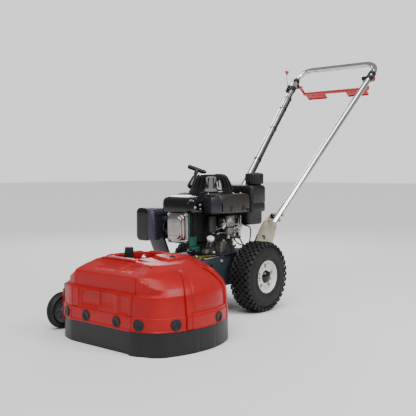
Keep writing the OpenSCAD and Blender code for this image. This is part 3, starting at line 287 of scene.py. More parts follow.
def tube(points, radius, seg=12, closed=False, radii=None):
    """Round bar along points, its frames carried along without twist."""
    p = [Vector(q) for q in points]
    n = len(p)
    bm = bmesh.new()
    rings = []
    prev = None
    for i in range(n):
        if closed:
            t = (p[(i + 1) % n] - p[i - 1]).normalized()
        else:
            t = (p[min(i + 1, n - 1)] - p[max(i - 1, 0)]).normalized()
        if prev is None:
            ref = Vector((0, 0, 1)) if abs(t.z) < 0.9 else Vector((1, 0, 0))
            u = t.cross(ref).normalized()
        else:
            u = (prev - t * prev.dot(t)).normalized()
        prev = u
        v = t.cross(u)
        r = radii[i] if radii else radius
        rings.append([bm.verts.new(p[i] + r * (math.cos(2 * math.pi * k / seg) * u
                                               + math.sin(2 * math.pi * k / seg) * v))
                      for k in range(seg)])
    for i in range(n if closed else n - 1):
        a, b = rings[i], rings[(i + 1) % n]
        for k in range(seg):
            m = (k + 1) % seg
            bm.faces.new((a[k], a[m], b[m], b[k]))
    if not closed:
        bm.faces.new(rings[0][::-1])
        bm.faces.new(rings[-1])
    bmesh.ops.recalc_face_normals(bm, faces=bm.faces)
    return bm


def coil(p0, p1, r, turns, wire, seg=8, per=14):
    """Coil spring between two points."""
    a, b = Vector(p0), Vector(p1)
    t = (b - a).normalized()
    u = t.cross(Vector((0, 0, 1)) if abs(t.z) < 0.9 else Vector((1, 0, 0))).normalized()
    v = t.cross(u)
    n = int(turns * per)
    pts = [a + (b - a) * (k / n) + r * (math.cos(2 * math.pi * k / per) * u
                                        + math.sin(2 * math.pi * k / per) * v) for k in range(n + 1)]
    return tube(pts, wire, seg)


def move(bm, matrix):
    bmesh.ops.transform(bm, matrix=matrix, verts=bm.verts)
    return bm


def at(x, y, z, axis="z", flip=False, turn=0.0):
    """Matrix that stands a Z-axis shape at a point, along another axis."""
    rot = {"z": Matrix.Identity(4), "x": spin(90, "Y"),
           "y": spin(-90, "X")}[axis]
    if flip:
        rot = rot @ spin(180, "X")
    return shift(x, y, z) @ rot @ Matrix.Rotation(turn, 4, "Z")


def along(p, d, roll=0.0):
    """Matrix that puts Z along the direction d at point p."""
    q = Vector(d).normalized().to_track_quat("Z", "Y")
    return Matrix.Translation(p) @ q.to_matrix().to_4x4() @ Matrix.Rotation(roll, 4, "Z")


def hexagon(af, h, bevel=0.6):
    r = af / math.sqrt(3)
    return prism([(r * math.cos(math.pi / 3 * k), r * math.sin(math.pi / 3 * k)) for k in range(6)], 0,
                 h, bevel)


def bolt(af, h, washer=True):
    parts = [hexagon(af, h)]
    if washer:
        parts.append(lathe([(0, -0.5), (af * 0.72, -0.5), (af * 0.72, 0.9), (0, 0.9)], 24))
    parts.append(lathe([(0, h - 0.2), (af * 0.28, h - 0.2), (af * 0.28, h + 1.6), (af * 0.2, h + 2.2),
                        (0, h + 2.2)], 16))
    return join(parts)


def join(parts):
    out = bmesh.new()
    for b in parts:
        me = bpy.data.meshes.new("t")
        b.to_mesh(me)
        b.free()
        out.from_mesh(me)
        bpy.data.meshes.remove(me)
    return out


def piece(name, bm, mat, body=ROOT, smooth=38, bevel=0.0, replaces=(), matrix=None):
    """A finished object from a mesh in machine mm."""
    if isinstance(bm, (list, tuple)):
        bm = join(bm)
    if matrix is not None:
        bmesh.ops.transform(bm, matrix=matrix, verts=bm.verts)
    bmesh.ops.transform(bm, matrix=PLACE, verts=bm.verts)
    me = bpy.data.meshes.new(name)
    bm.to_mesh(me)
    bm.free()
    me.shade_smooth()
    me.set_sharp_from_angle(angle=math.radians(smooth))
    me.materials.append(MAT[mat])
    o = bpy.data.objects.new(name, me)
    bpy.context.scene.collection.objects.link(o)
    if bevel:
        b = o.modifiers.new("bevel", "BEVEL")
        b.width = bevel / 1000
        b.segments = 2
        b.limit_method = "ANGLE"
        b.angle_limit = math.radians(40)
    if body:
        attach(o, body)
    if replaces:
        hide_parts(*replaces)
    return o


def cad(node, mat):
    o = frame["nodes"][node]
    for s in o.material_slots:
        s.material = MAT[mat]


# ---------------------------------------------------------------- camera, floor and light
scene = bpy.context.scene
cam_data = bpy.data.cameras.new("camera")
cam = bpy.data.objects.new("camera", cam_data)
scene.collection.objects.link(cam)
cam.location = world(1733.8, -2179.5, 555.0)
TURN, PITCH = math.radians(40.2), math.radians(3.04)
look = Vector((-math.sin(TURN) * math.cos(PITCH), math.cos(TURN) * math.cos(PITCH), -math.sin(PITCH)))
cam.rotation_mode = "QUATERNION"
cam.rotation_quaternion = look.to_track_quat("-Z", "Y")
cam_data.sensor_width = 36
cam_data.lens = 58.15
cam_data.clip_start, cam_data.clip_end = 0.05, 100
scene.camera = cam

floor_mesh = bpy.data.meshes.new("floor")
floor_mesh.from_pydata([(-30, -30, 0), (30, -30, 0), (30, 30, 0), (-30, 30, 0)], [], [(0, 1, 2, 3)])
floor = bpy.data.objects.new("floor", floor_mesh)
scene.collection.objects.link(floor)
floor.location = (0, 0, -0.0005)
floor_mesh.materials.append(material("floor", (0.86, 0.86, 0.86), 0.85, vary=0.01, scale=2, bump=0.0))

world_data = bpy.data.worlds.new("world")
scene.world = world_data
world_data.use_nodes = True
bg = world_data.node_tree.nodes["Background"]
bg.inputs["Color"].default_value = (1.0, 1.0, 1.0, 1)
WN = world_data.node_tree
path = WN.nodes.new("ShaderNodeLightPath")
span = WN.nodes.new("ShaderNodeMapRange")
span.inputs["To Min"].default_value = 0.3
span.inputs["To Max"].default_value = 1.25
WN.links.new(path.outputs["Is Camera Ray"], span.inputs["Value"])
WN.links.new(span.outputs["Result"], bg.inputs["Strength"])


def area(name, loc, target, size, power):
    d = bpy.data.lights.new(name, "AREA")
    d.shape = "RECTANGLE"
    d.size = size
    d.size_y = size
    d.energy = power
    o = bpy.data.objects.new(name, d)
    scene.collection.objects.link(o)
    o.location = loc
    o.rotation_mode = "QUATERNION"
    o.rotation_quaternion = (Vector(target) - Vector(loc)).to_track_quat("-Z", "Y")


area("key", (2.4, -0.2, 2.3), (0, -0.2, 0.3), 1.1, 48)
area("fill", (-0.6, -3.4, 1.5), (0, -0.3, 0.3), 1.2, 7)
area("rim", (-2.2, 1.8, 1.9), (0, 0, 0.5), 1.0, 26)
sun = bpy.data.lights.new("sun", "SUN")
sun.energy = 2.7
sun.angle = math.radians(50)
sun_o = bpy.data.objects.new("sun", sun)
scene.collection.objects.link(sun_o)
sun_o.rotation_mode = "QUATERNION"
sun_o.rotation_quaternion = Vector((-0.25, 0.4, -1)).to_track_quat("-Z", "Y")

# ---------------------------------------------------------------- hood
HALF = [(154, -250), (232.4, -219), (268.1, -125), (275, -42.5), (266.75, 31.5), (236.5, 103.5),
        (176, 171), (99, 225)]
PLAN = [(-x, y) for x, y in reversed(HALF)] + HALF
NP = len(PLAN)


def inset_polygon(dists):
    """PLAN moved inwards by a distance for each corner, along the corner's bisector."""
    out = []
    for i in range(NP):
        a, b, c = Vector(PLAN[i - 1]), Vector(PLAN[i]), Vector(PLAN[(i + 1) % NP])
        e1, e2 = (b - a).normalized(), (c - b).normalized()
        n1, n2 = Vector((-e1.y, e1.x)), Vector((-e2.y, e2.x))
        out.append(b + dists[i] * (n1 + n2) / (1 + n1.dot(n2)))
    return out


FRONT, SHOULDER = (7, 8), (6, 9)  # corners of PLAN at the front, and the next ones back
FRONT_CUT, SHOULDER_CUT, MOST_CUT = 16, 34, 0.46


def corner_cut(i, length):
    """How far from a corner its easing starts, on a side of this length."""
    most = MOST_CUT * length
    if i in SHOULDER:
        return min(SHOULDER_CUT, most)
    return min(FRONT_CUT, most) if i in FRONT else most


def rounded(poly):
    """Samples round the polygon with its corners eased; the same count for every ring."""
    pts = []
    for i in range(NP):
        a, b, c = poly[i - 1], poly[i], poly[(i + 1) % NP]
        before, after = (b - a).length, (c - b).length
        s = b + (a - b).normalized() * corner_cut(i, before)
        e = b + (c - b).normalized() * corner_cut(i, after)
        for k in range(8):
            t = k / 8
            pts.append((1 - t) ** 2 * s + 2 * t * (1 - t) * b + t * t * e)
        e2 = c + (b - c).normalized() * corner_cut((i + 1) % NP, after)
        steps = 60 if i == FRONT[0] else 18
        for k in range(steps):
            pts.append(e + (e2 - e) * (k / steps))
    return pts


def ease(x, lo, hi, soft):
    """1 inside lo..hi, falling to 0 over soft outside."""
    if x < lo:
        t = max(0.0, 1 - (lo - x) / soft)
    elif x > hi:
        t = max(0.0, 1 - (x - hi) / soft)
    else:
        t = 1.0
    return t * t * (3 - 2 * t)


# height, inset at the front, inset at the flanks
PROFILE = [(71, 1.5, 1.5), (72, 0, 0), (76, -1, -1), (78.5, 0.5, 0.5), (84, 0.5, 0.5), (112, 0.5, 0.5),
           (115, 1, 0.8), (117.5, 5, 3),
           (121, 5.2, 3.2), (130, 5.4, 3.6), (140, 5.6, 4.2), (150, 5.8, 5), (160, 6, 6.2),
           (170, 6.4, 7.6), (177, 6.8, 9),
           (180.5, 7.6, 10), (182, 9.5, 10.6), (183.2, 19.5, 11.4), (185, 20.6, 12), (190, 20.8, 15),
           (198, 21, 19.5), (202, 21.1, 22.5),
           (206, 21.2, 26), (210, 21.4, 29.5), (214, 21.7, 33), (218, 21.9, 37), (222, 22.2, 41),
           (226, 22.5, 45.5), (229, 22.7, 49), (231, 22.9, 52),
           (233, 23.6, 55), (234.2, 25.5, 57.5), (236, 30, 60), (239, 38, 64.5), (243, 49, 71),
           (247, 60, 78), (251, 71, 87),
           (255, 82, 96), (259, 91, 104), (262, 97, 110), (263, 99, 113)]


def ring_points(z, f, g):
    """Samples round the hood at one height: a box-like front, domed flanks, a crease where they meet."""
    dome = rounded(inset_polygon([f if i in FRONT else g for i in range(NP)]))
    if z < 183:
        return rounded(inset_polygon([f if i in FRONT else 0.5 * (f + g) if i in SHOULDER else g
                                      for i in range(NP)]))
    flat = rounded(inset_polygon([min(f, 22.8) if i in FRONT + SHOULDER else g for i in range(NP)]))
    out = []
    for k, (p, q) in enumerate(zip(dome, flat)):
        x = abs(p.x)
        t = (x - 138) / 80
        if t <= 0 or p.y > -120:
            out.append(p)
            continue
        top = 233 - 34 * min(1, t)
        w = min(1, max(0, (top - z) / 2.5)) if t < 1 else min(1,
                                                              max(0,
                                                                  (top - z) / 2.5)) * max(0, 1 - (t - 1) * 6)
        out.append(p + (q - p) * w)
    return out


WELL = (-96, -120, 42, 50)


def to_well(p, grow=0.0):
    """The point of the well's rounded rectangle that faces p."""
    cx, cy = (WELL[0] + WELL[2]) / 2, (WELL[1] + WELL[3]) / 2
    hx, hy = (WELL[2] - WELL[0]) / 2 + grow, (WELL[3] - WELL[1]) / 2 + grow
    d = Vector((p.x - cx, p.y - cy))
    k = 1 / ((abs(d.x) / hx) ** 8 + (abs(d.y) / hy) ** 8) ** (1 / 8)
    return Vector((cx + d.x * k, cy + d.y * k))


def hood_surface():
    bm = bmesh.new()
    rings = []
    for z, f, g in PROFILE:
        rings.append([(p, z) for p in ring_points(z, f, g)])
    count = len(rings[0])
    last = rings[-1]
    # across the crown and down into the well: share of the way, growth of the well, height
    for t, grow, dz in [(0.2, 14, 1.5), (0.4, 14, 3), (0.6, 14, 4.5), (0.8, 14, 5.5), (1, 13, 6.5),
                        (1, 8, 9),
                        (1, 3, 10), (1, 0, 8), (1, -1.5, 0), (1, -3, -18), (1, -4, -36)]:
        ring = []
        for p, z in last:
            q = to_well(p, grow)
            ring.append((p + (q - p) * t, 263 + dz))
        rings.append(ring)
    grid = []
    for r, ring in enumerate(rings):
        row = []
        for k, (p, z) in enumerate(ring):
            a, b = ring[k - 1][0], ring[(k + 1) % count][0]
            e = (b - a).normalized()
            n = Vector((e.y, -e.x))
            x, y = p.x, p.y
            out = 0.0
            up = 0.0
            if z < 258 and r < len(PROFILE) and y < -215 and abs(x) < 150:
                # recesses in the lower front panel
                out -= 4.5 * ease(x, -96, -10, 2.5) * ease(z, 124, 172, 2.5)
                out -= 3.0 * ease(x, -2, 62, 2.5) * ease(z, 140, 172, 2.5)
                out -= 3.0 * ease(x, 86, 122, 2.5) * ease(z, 122, 170, 2.5)
            if r >= len(PROFILE) - 6:
                up -= 5.5 * ease(x, -74, 22, 3) * ease(y, -196, -168, 3)
                up -= 3.5 * ease(x, 48, 96, 3) * ease(y, -190, -150, 3)
            v = p + n * out
            row.append(bm.verts.new((v.x, v.y, z + up)))
        grid.append(row)
    for a, b in zip(grid, grid[1:]):
        for k in range(count):
            n = (k + 1) % count
            bm.faces.new((a[k], a[n], b[n], b[k]))
    bmesh.ops.recalc_face_normals(bm, faces=bm.faces)
    return bm


def solid_object(name, bm):
    me = bpy.data.meshes.new(name)
    bm.to_mesh(me)
    bm.free()
    o = bpy.data.objects.new(name, me)
    scene.collection.objects.link(o)
    return o


def evaluated(o):
    dg = bpy.context.evaluated_depsgraph_get()
    dg.update()
    bm = bmesh.new()
    bm.from_mesh(o.evaluated_get(dg).to_mesh())
    return bm


def cut(bm, cutters, op):
    """Boolean of a closed mesh with other closed meshes, one after another."""
    o = solid_object("cut_base", bm)
    others = []
    for c in cutters:
        k = solid_object("cut_tool", c)
        others.append(k)
        m = o.modifiers.new("b", "BOOLEAN")
        m.operation = op
        m.solver = "EXACT"
        m.object = k
    out = evaluated(o)
    for k in others + [o]:
        me = k.data
        bpy.data.objects.remove(k)
        bpy.data.meshes.remove(me)
    return out


def shell(bm, thickness):
    o = solid_object("shell", bm)
    m = o.modifiers.new("s", "SOLIDIFY")
    m.thickness = thickness
    m.offset = -1
    m.use_even_offset = True
    out = evaluated(o)
    me = o.data
    bpy.data.objects.remove(o)
    bpy.data.meshes.remove(me)
    return out


def crossing(ring, value, axis, side):
    """Where a ring of the hood meets a line x or y = value, on the front or on a flank."""
    n = len(ring)
    for k in range(n):
        p, q = ring[k], ring[(k + 1) % n]
        if axis == "y":
            if side * p.x < 60 or (p.y - value) * (q.y - value) > 0 or p.y == q.y:
                continue
            t = (value - p.y) / (q.y - p.y)
        else:
            if p.y > -60 or (p.x - value) * (q.x - value) > 0 or p.x == q.x:
                continue
            t = (value - p.x) / (q.x - p.x)
        e = (q - p).normalized()
        return p + (q - p) * t, Vector((e.y, -e.x))
    return None


def hood_patch(lo, hi, z0, z1, out, side=1, axis="y", across=2, chamfer=2.0, sink=2.6):
    """Raised field on the hood between two edges, each a value or a function of the height."""
    rows = []
    for h in [z0 + (z1 - z0) * q / 30 for q in range(31)]:
        for a, b in zip(PROFILE, PROFILE[1:]):
            if a[0] <= h <= b[0]:
                t = (h - a[0]) / (b[0] - a[0])
                f, g = a[1] + (b[1] - a[1]) * t, a[2] + (b[2] - a[2]) * t
                break
        ring = ring_points(h, f, g)
        v0 = lo(h) if callable(lo) else lo
        v1 = hi(h) if callable(hi) else hi
        end = min(1, (h - z0) / max(chamfer, 0.01), (z1 - h) / max(chamfer, 0.01))
        outer = []
        for q in range(across + 1):
            c = crossing(ring, v0 + (v1 - v0) * q / across, axis, side)
            if c is None:
                break
            outer.append(c)
        if len(outer) < across + 1:
            continue
        pts = [outer[0][0] - outer[0][1] * sink, outer[0][0] + outer[0][1] * 0.2]
        for q, (p, nn) in enumerate(outer):
            if q == 0:
                d = (outer[1][0] - p).normalized() * chamfer
            elif q == across:
                d = (outer[-2][0] - p).normalized() * chamfer
            else:
                d = Vector((0, 0))
            pts.append(p + d + nn * (0.2 + (out - 0.2) * end))
        pts += [outer[-1][0] + outer[-1][1] * 0.2, outer[-1][0] - outer[-1][1] * sink]
        rows.append(([(p.x, p.y) for p in pts], h))
    return stack(rows)


hood = shell(hood_surface(), 3.4)
# the boom comes in through the rear, the support wheel's lug through the right flank
hood = cut(hood, [box(-232, 112, 66, 300, 150, 228, 6), box(-300, -190, -172, -118, 154, 167, 2)],
           "DIFFERENCE")
SEAM_X = 142


def front_boxes(g):
    return [box(-SEAM_X + g, SEAM_X - g, -300, -157 - g, 40, 400)]


front = cut(hood.copy(), front_boxes(0.8), "INTERSECT")
sides = cut(hood, front_boxes(-0.8), "DIFFERENCE")
left = cut(sides.copy(), [box(20.8, 400, -400, 400, 0, 400)], "INTERSECT")
right = cut(sides, [box(-400, 19.2, -400, 400, 0, 400)], "INTERSECT")
HEAD = shift(HX, HY, 0)


def lean(at72, at250):
    """A strap edge that runs straight up the flank, then turns towards the crown."""
    def f(h):
        t = min(1, max(0, (h - 178) / 70))
        return at72 + (at250 - at72) * t ** 1.4
    return f


flank = [hood_patch(lean(-132, -92), lean(-112, -76), 73, 247, 6.5),
         hood_patch(lean(74, 18), lean(93, 32), 73, 250, 6.5),
         hood_patch(-113, 75, 73, 126, 4.6, across=14),
         hood_patch(lean(-100, -60), lean(60, 6), 134, 236, 1.8, across=14),
         hood_patch(lean(118, 60), lean(128, 68), 100, 244, 4.0)]
flank_r = [hood_patch(lean(-132, -92), lean(-112, -76), 73, 150, 6.5, side=-1),
           hood_patch(lean(74, 18), lean(93, 32), 73, 250, 6.5, side=-1),
           hood_patch(-113, 75, 73, 126, 4.6, side=-1, across=14),
           hood_patch(lean(-20, -20), lean(60, 6), 134, 236, 1.8, side=-1, across=14)]
front_ribs = [hood_patch(-134, -108, 118, 181, 3.2, axis="x"),
              hood_patch(66, 82, 120, 181, 2.6, axis="x"), hood_patch(-10, -3, 122, 181, 2.2, axis="x"),
              hood_patch(-136, 136, 176, 181.5, 2.0, axis="x", across=8, chamfer=1.0),
              hood_patch(124, 138, 118, 181, 2.4, axis="x")]
left = join([left] + flank)
right = join([right] + flank_r)
front = join([front] + front_ribs)
piece("hood_front_panel", front, "red", matrix=HEAD, smooth=32, replaces=["hood_front"])
piece("hood_left_panel", left, "red", matrix=HEAD, smooth=32, replaces=["hood_left"])
piece("hood_right_panel", right, "red", matrix=HEAD, smooth=32, replaces=["hood_right"])

# plugs in the band
plug_mesh = []
plug_prof = [(0, -3), (16.4, -3), (16.4, 0), (17.6, 0.3), (17.8, 1.2), (16.6, 2.2), (13.5, 2.6),
             (12.8, 2.0),
             (4, 2.0), (3.2, 1.2), (0, 1.2)]
for px, py, ang in [(-67, -250, -90), (78, -250, -90)] + [
        (s * x, y, -90 + s * (90 + a)) for s in (1, -1) for x, y, a in
        [(169.7, -243.8, -68.4), (252.4, -166.4, -20.8), (269.1, 10.8, 6.4)]]:
    a = math.radians(ang)
    out = Vector((math.cos(a), math.sin(a), 0))
    proud = 4.6 if abs(px) > 262 else 0.4
    plug_mesh.append(move(lathe(plug_prof, 28), along(Vector((HX + px, HY + py, 95)) + out * proud, out)))
piece("hood_plug_set", plug_mesh, "black", replaces=["hood_plugs"], smooth=50)

# rubber skirt, two halves with a step
def skirt_ring(inset, thick, z0, z1, flare, x_from, x_to, wave):
    outer = rounded(inset_polygon([inset] * NP))
    bm = bmesh.new()
    n = len(outer)
    levels = 9
    rows_out, rows_in = [], []
    for j in range(levels):
        t = j / (levels - 1)
        z = z0 + (z1 - z0) * t
        ro, ri = [], []
        for k, p in enumerate(outer):
            a, b = outer[k - 1], outer[(k + 1) % n]
            e = (b - a).normalized()
            nrm = Vector((e.y, -e.x))
            w = wave * (1 - t) * math.sin(k * 0.19 + 0.7) * math.sin(k * 0.043)
            q = p + nrm * (flare * (1 - t) + w)
            ro.append(bm.verts.new((q.x, q.y, z)))
            q2 = q - nrm * thick
            ri.append(bm.verts.new((q2.x, q2.y, z)))
        rows_out.append(ro)
        rows_in.append(ri)
    for j in range(levels - 1):
        for k in range(n):
            m = (k + 1) % n
            bm.faces.new((rows_out[j][k], rows_out[j][m], rows_out[j + 1][m], rows_out[j + 1][k]))
            bm.faces.new((rows_in[j][m], rows_in[j][k], rows_in[j + 1][k], rows_in[j + 1][m]))
    for k in range(n):
        m = (k + 1) % n
        bm.faces.new((rows_out[0][m], rows_out[0][k], rows_in[0][k], rows_in[0][m]))
        bm.faces.new((rows_out[-1][k], rows_out[-1][m], rows_in[-1][m], rows_in[-1][k]))
    return cut(bm, [box(x_from, x_to, -400, 400, -10, 400)], "INTERSECT")


piece("skirt_near", [skirt_ring(-2.2, 5, 0.3, 72.4, 1.2, 136.6, 500, 0.8),
                     skirt_ring(5, 4.5, 73, 104, 0, 136.6, 500, 0)],
      "skirt", matrix=HEAD, replaces=["skirt_left"])
piece("skirt_far", skirt_ring(4.4, 5, 0.3, 104, 1.0, -500, 140, 0.8), "skirt", matrix=HEAD,
      replaces=["skirt_right"])

# crown pads, latch, the black hole plug and screws
def slab(points, thick):
    """Pad over four crown corners (x, y, z), its edges chamfered."""
    pts = [Vector(p) for p in points]
    n = (pts[1] - pts[0]).cross(pts[3] - pts[0]).normalized()
    if n.z < 0:
        n = -n
    mid = sum(pts, Vector()) / 4
    bm = bmesh.new()
    low = [bm.verts.new(p - n * 3) for p in pts]
    rim = [bm.verts.new(p + n * (thick * 0.35)) for p in pts]
    top = [bm.verts.new(mid + (p - mid) * 0.86 + n * thick) for p in pts]
    bm.faces.new(low)
    bm.faces.new(top)
    for a, b in ((low, rim), (rim, top)):
        for k in range(4):
            m = (k + 1) % 4
            bm.faces.new((a[k], a[m], b[m], b[k]))
    bmesh.ops.recalc_face_normals(bm, faces=bm.faces)
    bmesh.ops.bevel(bm, geom=bm.edges[:], offset=1.2, segments=2, affect="EDGES", profile=0.5)
    return bm


def on_crown(x, y):
    """Height of the crown over a point in the head's axes."""
    r = to_well(Vector((x, y)), 0)
    k = math.hypot(x - r.x, y - r.y)
    return 272 - 0.07 * k - 0.0009 * k * k


def crown_slab(xy, thick):
    return slab([(x, y, on_crown(x, y)) for x, y in xy], thick)


pads = [crown_slab([(52, -66), (124, -66), (118, 34), (52, 44)], 13),
        crown_slab([(128, -96), (150, -82), (150, 20), (128, 28)], 7),
        crown_slab([(-92, 58), (70, 58), (82, 96), (-104, 96)], 6),
        crown_slab([(46, -128), (120, -120), (112, -74), (52, -74)], 5),
        crown_slab([(-98, -126), (40, -126), (52, -146), (-112, -146)], 5),
        crown_slab([(-128, -110), (-106, -110), (-106, 50), (-128, 50)], 6)]
piece("crown_pads", pads, "red", matrix=HEAD, smooth=30)

piece("latch_bar", [tube([(243, -556, 262), (245, -545, 260.5), (250, -522, 257), (252, -514, 255)], 3.2,
                         12),
                    move(lathe([(0, 0), (4.6, 0), (4.6, 6), (0, 6)], 16),
                         along((244, -551, 259), (0.3, 0.1, 1)))], "chrome")
piece("hole_plug", lathe([(0, -3), (12.5, -3), (12.5, 2.4), (9.5, 3), (8.8, 1.6), (0, 1.6)], 28), "black",
      matrix=along((225, -576, 270.5), (0.62, -0.5, 0.75)))
piece("crown_screws", [move(bolt(9, 4), along((x, y, z), (0.2, 0.1, 1))) for x, y, z in
                       [(211, -441, 262.5), (20, -650, 266), (24, -440, 266)]], "steel")

# ---------------------------------------------------------------- knob and spindle housing
knob = lathe([(0, 234), (9, 234), (9, 246), (17, 247), (18.2, 249), (18, 256), (16.2, 280), (14.6, 298),
              (13.4, 300.5),
              (9, 301), (8, 299.6), (0, 299.4)], 64)
for v in knob.verts:
    a = math.atan2(v.co.y, v.co.x)
    if 250 < v.co.z < 300 and v.co.length > 5:
        r = Vector((v.co.x, v.co.y))
        k = 1 - 0.09 * max(0, math.cos(8 * a)) ** 3
        v.co.x, v.co.y = r.x * k, r.y * k
piece("adjuster_grip", knob, "black", "adjuster", matrix=shift(55, -610, 0), replaces=["adjuster_knob"])
piece("spindle_cap", [lathe([(0, 221.2), (66, 221.2), (67, 222.5), (67, 228), (65, 230), (52, 230.5),
                             (50, 232), (46, 250),
                             (43, 253), (14, 254), (13, 256), (0, 256)], 64)]
      + [move(box(46, 64, -3, 3, 229, 240, 1.5), spin(60 + 60 * k)) for k in range(6)],
      "blue", matrix=HEAD, replaces=["spindle_housing"])
dome = lathe([(0, 0), (7.5, 0), (7.5, 1.2), (6.4, 1.3), (6.2, 6), (5.8, 8.5), (4.2, 11), (2, 12.2),
              (0, 12.5)], 20)
domes = []
for k in range(6):
    a = math.radians(30 + 60 * k)
    domes.append(move(dome.copy(), shift(HX + 58 * math.cos(a), HY + 58 * math.sin(a), 230)))
dome.free()
piece("housing_domes", domes, "steel")
piece("well_collar", [lathe([(0, 250), (21, 250), (22, 252), (22, 259), (20, 261), (14, 261.5),
                             (0, 261.5)], 32)], "blue",
      matrix=shift(110, -588, 0))
piece("crown_nut", [lathe([(0, 258), (12, 258), (12, 262.5), (9.5, 263), (9.5, 268), (8, 272), (4, 275),
                           (0, 275.6)], 28)],
      "chrome", matrix=shift(105, -590, 0))

# ---------------------------------------------------------------- rear wheels
def carcass(r, w, bead, crown):
    h = w / 2
    return lathe([(bead, -h + 6), (bead + 3, -h + 2), (bead + 10, -h + 0.6),
                  (bead + 0.5 * (r - bead), -h),
                  (r - crown * 1.2, -h + 2.4), (r - crown * 0.55, -h + 8), (r - crown * 0.2, -h + 18),
                  (r - 1, -h * 0.3), (r, 0), (r - 1, h * 0.3), (r - crown * 0.2, h - 18),
                  (r - crown * 0.55, h - 8),
                  (r - crown * 1.2, h - 2.4), (bead + 0.5 * (r - bead), h), (bead + 10, h - 0.6),
                  (bead + 3, h - 2),
                  (bead, h - 6)], 96)


def tread(r_at, tip, rows, pitches):
    """Blocks set round a tyre: rows of (position across, length round, width across, lean)."""
    blocks = []
    for row, (x, lng, wid, lean) in enumerate(rows):
        odd = row % 2
        for k in range(pitches):
            a = 2 * math.pi * (k + 0.5 * odd) / pitches
            b = box(-lng / 2, lng / 2, -wid / 2, wid / 2, -6, tip(x) - r_at(x), 1.1, 1)
            for v in b.verts:
                if v.co.z > 0:
                    v.co.x *= 0.9
                    v.co.y *= 0.92
            base = Matrix(((0, 0, 1, r_at(x)), (1, 0, 0, 0), (0, 1, 0, x), (0, 0, 0, 1)))
            skew = Matrix.Rotation(0.12 if odd else -0.12, 4, "Z") @ Matrix.Rotation(-lean, 4, "X")
            blocks.append(move(b, Matrix.Rotation(a, 4, "Z") @ base @ skew))
    return join(blocks)


def r_rear(x):
    x = abs(x)
    return 134.0 - max(0, x - 20) ** 2 * 0.011


def tip_rear(x):
    x = abs(x)
    return 139.6 - max(0, x - 22) ** 2 * 0.011


rows = [(-42, 15, 9, 0.55), (-31, 16, 11, 0.3), (-18, 15, 11, 0.08), (-5.5, 14, 10, 0), (7, 14, 10, 0),
        (19.5, 15, 11, -0.08), (31.5, 16, 11, -0.3), (42, 15, 9, -0.55)]


def rear_wheel(side, name, body):
    s = 1 if side > 0 else -1
    m = shift(s * 160, 0, 140) @ Matrix.Rotation(s * math.pi / 2, 4, "Y")
    piece(name + "_tyre_carcass", carcass(134, 93, 64, 17), "tyre", body, matrix=m, smooth=50,
          replaces=["tyre_" + name])
    piece(name + "_tyre_tread", tread(r_rear, tip_rear, rows, 34), "tyre", body, matrix=m, smooth=30)
    ring = [lathe([(r, h), (r + 1.2, h + 0.9), (r + 2.6, h)], 72) for r,
            h in [(104, 45.7), (80, 46.2), (72, 45.9)]]
    ring += [lathe([(r, -h), (r + 1.2, -h - 0.9), (r + 2.6, -h)], 72) for r,
             h in [(104, 45.7), (80, 46.2)]]
    piece(name + "_tyre_beads", ring, "tyre", body, matrix=m, smooth=60)
    # rim: rolled flange, dished web with five pockets, hub with bolts
    web = cut(lathe([(12, 20), (57.5, 20), (57.5, 27), (52, 30.5), (30, 31), (26, 33.5), (12, 33.5),
                     (12, 20)], 72),
              [move(prism([(-6, -9), (6, -9), (10.5, 8), (-10.5, 8)], 10, 50, 0),
                    Matrix.Rotation(2 * math.pi * k / 5 + 0.3, 4, "Z")
                    @ shift(0, 42, 0)) for k in range(5)], "DIFFERENCE")
    rim = [lathe([(58, -38), (62, -41), (64, -40), (64.6, -37), (60, -34), (57, -30), (57, 30), (60, 34),
                  (64.6, 37), (65.4, 40),
                  (64.5, 42.6), (62, 43), (60, 41), (58.5, 36), (55, 32), (54.6, -30), (57, -34),
                  (58, -38)], 96),
           web, lathe([(11, -29), (22, -29), (22, 24), (24, 26), (11, 26), (11, -29)], 40)]
    piece(name + "_rim_body", rim, "cream", body, matrix=m, bevel=0.8, replaces=["rim_" + name])
    bolts = [move(bolt(7, 3.2, False), Matrix.Rotation(2 * math.pi * k / 5 + 0.3 + math.pi / 5, 4, "Z")
                  @ shift(0, 42, 30.6)) for k in range(5)]
    piece(name + "_rim_bolts", bolts, "steel", body, matrix=m)
    valve = tube([(0, -52, 26), (0, -50, 34), (0, -47, 40)], 3, 10)
    piece(name + "_valve", valve, "black", body, matrix=m)
    cap = lathe([(0, 30), (25.5, 30), (26.2, 31), (26.2, 33.5), (25, 36), (23, 40.5), (18.5, 44.5),
                 (11, 47), (4, 47.9), (0, 48)], 48)
    piece(name + "_cap", cap, "gloss", body, matrix=m, replaces=["hub_cap_" + name])


rear_wheel(1, "left", "wheel_left")
rear_wheel(-1, "right", "wheel_right")

# ---------------------------------------------------------------- support wheel
SW = shift(-200, -698, 65) @ spin(-90, "Y")
piece("support_tyre_body", [carcass(64.6, 38, 44, 8)], "tyre", "support_wheel", matrix=SW, smooth=50,
      replaces=["support_tyre"])
piece("support_disc", [lathe([(6.2, -20), (14.5, -20), (16, -8), (30, -5), (38, -11), (42, -14),
                              (44.2, -13.5), (44.2, 13.5), (42, 14),
                              (38, 11), (30, 5), (16, 8), (14.5, 20), (6.2, 20), (6.2, -20)], 56)]
      + [move(box(17, 37, -1.6, 1.6, -9, 9, 0.6), Matrix.Rotation(math.pi / 4 * k, 4, "Z"))
         for k in range(8)],
      "grey", "support_wheel", matrix=SW, replaces=["support_hub"])

